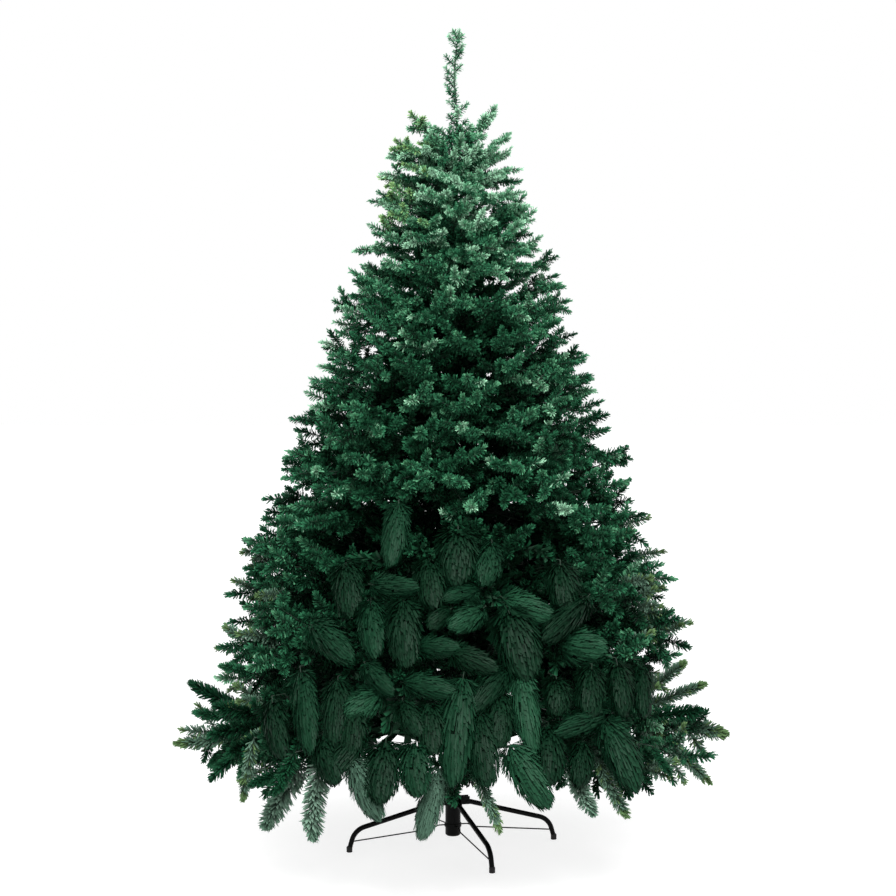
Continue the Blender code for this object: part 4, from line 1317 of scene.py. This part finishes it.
def pileNeedles(sizes, rng):
    # the same for a lobe, whose needles stand on its side and lie along it
    rules = lobeNeedles
    radius, halfLength, unruly = sizes["radius"], sizes["length"] / 2, sizes["unruly"]
    turnSpread = needleSizes["turnSpread"]
    for index in range(sizes["needles"]):
        share = (index + rng.random()) / sizes["needles"]
        rng.random()  # keeps the draws in step
        around = Quaternion(up, index * goldenTurn + rng.uniform(-turnSpread, turnSpread))
        under = index % rules["wideOnes"] == 0
        depth = rules["wideDepth"] if under else rules["rootDepth"]
        way = math.pi * blendSizes(rules["rootEnds"], share)
        lean = math.atan2(radius * math.cos(way), halfLength * math.sin(way))
        if not under:
            lean += rules["raise"] + math.radians(rng.uniform(-unruly, unruly))
        length = rules["length"] * rng.uniform(*rules["lengths"])
        out = depth * radius * math.sin(way) ** rules["bluntness"]
        root = around @ Vector((out, 0, halfLength * (1 - depth * math.cos(way))))
        roll = math.pi / 2 + rng.uniform(-rules["roll"], rules["roll"]) * (not under)
        turning = around @ Quaternion((0, 1, 0), lean) @ Quaternion(up, roll)
        width = sizes["width"] * rng.uniform(*needleSizes["widths"])
        yield root, turning, length, width * (rules["wider"] if under else 1.0), False


def makeBrush(name, kind, bend, body, tip, corners, seed):
    # one spray as a mesh: copies of the needle, the last ones in the green of the tip
    sizes = sprayKinds[kind]
    lobe = kind == "paddle"
    place = pileNeedles if lobe else fingerNeedles
    droop = lobeNeedles["droop"] if lobe else 0.0
    points, faces, paints, alongs = [], [], [], []
    for root, turning, length, width, fresh in place(sizes, random.Random(seed)):
        first = len(points)
        for corner in corners:
            point = root + turning @ Vector((corner.x * width, corner.y * width, corner.z * length))
            curl = sizes["length"] * (point.z / sizes["length"]) ** 2
            point.x += bend * curl
            point.y -= droop * curl
            points.append(point)
            alongs.append(lobeNeedles["paling"] if lobe else float(corner.z > 0.5))
        faces += [(first, first + 1, first + 2), (first, first + 2, first + 3)]
        paints += [int(fresh)] * 2
    mesh = bpy.data.meshes.new(name)
    mesh.from_pydata(points, [], faces)
    mesh.materials.append(needleFilms[body])
    mesh.materials.append(needleFilms[tip])
    mesh.polygons.foreach_set("material_index", paints)
    mesh.attributes.new("along", "FLOAT", "POINT").data.foreach_set("value", alongs)
    return bpy.data.objects.new(name, mesh)


def makeBrushes():
    # every kind in every green, with its bends, in one collection that the planter picks from by number
    store = bpy.data.collections.new("brushes")
    numbers = {}
    needle = makeNeedle()
    corners = [needle.data.vertices[index].co.copy() for index in needle.data.polygons[0].vertices]
    bpy.data.objects.remove(needle)
    for kind, greensHere in kindGreens.items():
        for green in greensHere:
            for bend in sprayKinds[kind]["bends"]:
                number = len(store.objects)
                seed = needleSizes["seed"] + number
                brush = makeBrush(f"brush_{number:02d}", kind, bend, *greenPairs[green], corners, seed)
                store.objects.link(brush)
                numbers.setdefault((kind, green), []).append(number)
    return store, numbers


def makePlanter(store):
    # Geometry Nodes: one brush on each point, by its number, turn and size, realized
    group = bpy.data.node_groups.new("spray_planter", "GeometryNodeTree")
    group.interface.new_socket("Geometry", in_out="INPUT", socket_type="NodeSocketGeometry")
    group.interface.new_socket("Geometry", in_out="OUTPUT", socket_type="NodeSocketGeometry")
    nodes, links = group.nodes, group.links
    pointsIn = nodes.new("NodeGroupInput")
    meshOut = nodes.new("NodeGroupOutput")
    pick = nodes.new("GeometryNodeCollectionInfo")
    pick.inputs["Collection"].default_value = store
    pick.inputs["Separate Children"].default_value = True
    pick.inputs["Reset Children"].default_value = True
    plant = nodes.new("GeometryNodeInstanceOnPoints")
    plant.inputs["Pick Instance"].default_value = True
    for name, dataType, socket in (("number", "INT", "Instance Index"), ("turn", "FLOAT_VECTOR", "Rotation"),
                                   ("size", "FLOAT_VECTOR", "Scale")):
        reader = nodes.new("GeometryNodeInputNamedAttribute")
        reader.data_type = dataType
        reader.inputs["Name"].default_value = name
        links.new(reader.outputs["Attribute"], plant.inputs[socket])
    realize = nodes.new("GeometryNodeRealizeInstances")
    links.new(pointsIn.outputs[0], plant.inputs["Points"])
    links.new(pick.outputs[0], plant.inputs["Instance"])
    links.new(plant.outputs[0], realize.inputs[0])
    links.new(realize.outputs[0], meshOut.inputs[0])
    return group


def plantSprays(name, tierHere, planter, numbers, nodes):
    # a cloud of root points with their attributes, turned into needles
    planted = [spray[1:] for spray in sprays if spray[0] == tierHere]
    mesh = bpy.data.meshes.new(name)
    mesh.from_pydata([spray[0] for spray in planted], [], [])
    picks, turns, scales = [], [], []
    for root, direction, length, radius, kind, green, dice in planted:
        sizes = sprayKinds[kind]
        choices = numbers[(kind, green)]
        picks.append(choices[int(dice * len(choices))])
        if kind == "paddle":
            # its broad side outwards, give or take
            broad = Vector((root.x, root.y, 0.0)).cross(direction).normalized()
            aim = Matrix((broad, direction.cross(broad), direction)).transposed().to_quaternion()
            aim = aim @ Quaternion(up, (dice - 0.5) * aimTurns["lobe"])
        else:
            aim = direction.to_track_quat("Z", "Y") @ Quaternion(up, dice * aimTurns["finger"])
        turns += aim.to_euler()
        wide = radius / sizes["radius"]
        scales += (wide, wide * sizes["flat"], length / sizes["length"])
    mesh.attributes.new("number", "INT", "POINT").data.foreach_set("value", picks)
    mesh.attributes.new("turn", "FLOAT_VECTOR", "POINT").data.foreach_set("vector", turns)
    mesh.attributes.new("size", "FLOAT_VECTOR", "POINT").data.foreach_set("vector", scales)
    piece = addObject(name, mesh)
    piece.modifiers.new("planter", "NODES").node_group = planter
    applyModifiers(piece)
    for attribute in ("number", "turn", "size"):
        if attribute in piece.data.attributes:
            piece.data.attributes.remove(piece.data.attributes[attribute])
    dress(piece, None, nodes)
    print(name, len(planted), "sprays", len(piece.data.polygons), "triangles")


def makeTwigs():
    # all wires of the crown as one piece
    piece = meshFromWires("twigs", twigLines)
    dress(piece, twigWrap)
    print("twigs", len(twigLines), "wires", len(piece.data.polygons), "faces")


boughSizes = {
    "radii": (0.0034, 0.0026),  # of the bare wire
    "steps": 90,
    "roundness": 2,
    "pitch": 0.007,  # of the film wound round it
    "ridge": 0.0009,
    "endRidge": 0.3,  # of that, at both ends
    "fadeIn": 6,
}


def makeBough(number):
    # the bare wire of a lowest branch, its film wound round it in a spiral
    sizes = boughSizes
    lowestRoot = crownSizes["lowestRoot"]
    turn = math.tau * number / tierCounts[0]
    tip, axisPoint, heading, level = branchAxis(turn, lowestRoot, crownSizes["lowestTip"])
    start = axisPoint + heading * (poleRadius(lowestRoot) + poleSizes["ringWidth"]) / level
    end = axisPoint + heading * crownSizes["boughEnd"] / level
    points = [start.lerp(end, step / sizes["steps"]) for step in range(sizes["steps"] + 1)]
    bough = tubeAlong(f"bough_wire_{number + 1}", points, sizes["radii"], sizes["roundness"])
    length = (end - start).length
    for vertex in bough.data.vertices:
        beside = vertex.co - start
        along = beside.dot(heading)
        off = beside - heading * along
        angle = math.atan2(off.dot(up), off.dot(heading.cross(up)))
        ridge = 0.5 + 0.5 * math.sin(angle + along / sizes["pitch"] * math.tau)
        fade = min(1.0, sizes["fadeIn"] * min(along, length - along) / length + sizes["endRidge"])
        vertex.co += off.normalized() * sizes["ridge"] * ridge * fade
    dress(bough, boughWrap, [f"bough_{number + 1}"])


# floor, light and camera

studio = {
    "floorSize": 60.0,
    "floorColour": (0.36, 0.36, 0.36),
    "floorGlow": 0.78,  # keeps the shadow under the crown pale, as on a lit studio table
    "floorRoughness": 0.9,
    "mottle": (3.0, 3.0),
    "mottleAmounts": (0.985, 1.0),
    "mottleEnds": (0.35, 0.65),
    "worldColour": (1.0, 1.0, 1.0),
    "worldStrength": 1.0,
    "keyPlace": (0.1, -3.5, 4.0),
    "keyAim": (0.0, 0.0, 1.0),
    "keyEnergy": 400.0,
    "keySize": 2.4,
    "cameraPlace": (-0.011, -4.0, 1.06),
    "cameraAim": (-0.011, 0.0, 0.887),
    "focalLength": 72.85,
    "sensorWidth": 36.0,
}


def aimObject(piece, place, aim):
    piece.location = place
    piece.rotation_euler = (Vector(aim) - piece.location).to_track_quat("-Z", "Y").to_euler()


def makeStage():
    deselectAll()
    bpy.ops.mesh.primitive_plane_add(size=studio["floorSize"])
    floor = bpy.context.object
    floor.name = "studio_floor"
    sockets = {"Roughness": studio["floorRoughness"], "Emission Color": (1.0, 1.0, 1.0, 1.0),
               "Emission Strength": studio["floorGlow"]}
    material, nodes, links, shader = newMaterial("floor_paint", sockets)
    mottle = addNoise(nodes, links, *studio["mottle"])
    ramp = (studio["floorColour"], studio["mottleAmounts"], studio["mottleEnds"])
    links.new(rampBetween(nodes, links, mottle, *ramp), shader.inputs["Base Color"])
    floor.data.materials.append(material)
    world = bpy.data.worlds.new("studio")
    bpy.context.scene.world = world
    world.use_nodes = True
    sky = world.node_tree.nodes["Background"]
    sky.inputs["Color"].default_value = (*studio["worldColour"], 1.0)
    sky.inputs["Strength"].default_value = studio["worldStrength"]
    key = bpy.data.lights.new("key", "AREA")
    key.energy = studio["keyEnergy"]
    key.size = studio["keySize"]
    aimObject(addObject("key", key), studio["keyPlace"], studio["keyAim"])


def makeCamera():
    data = bpy.data.cameras.new("camera")
    data.lens = studio["focalLength"]
    data.sensor_width = studio["sensorWidth"]
    camera = addObject("camera", data)
    aimObject(camera, studio["cameraPlace"], studio["cameraAim"])
    bpy.context.scene.camera = camera
    bpy.context.scene.view_settings.view_transform = "Standard"


makeCamera()
makeStage()
print("studio ready")

makePole()
makeSocket()
for index, degrees in enumerate(standSizes["legTurns"]):
    makeLeg(index + 1, degrees)
    makeCap(index + 1)
    makeBrace(index + 1, degrees)
for number in range(tierCounts[0]):
    makeBough(number)
print("pole, stand and boughs ready")

for tier, count in enumerate(tierCounts):
    for number in range(count):
        growBranch(tier, number, count)
growPlaced()
growCollar()
growLeader()
makeTwigs()

store, numbers = makeBrushes()
planter = makePlanter(store)
for tier, count in enumerate(tierCounts):
    nodes = [f"foliage_tier{tier + 1}_{number + 1}" for number in range(count)]
    plantSprays(f"needles_tier{tier + 1}", tier, planter, numbers, nodes)
plantSprays("needles_leader", leaderTier, planter, numbers, ["foliage_leader"])
for brush in list(store.objects):
    bpy.data.objects.remove(brush)
bpy.data.collections.remove(store)
print("needles planted")
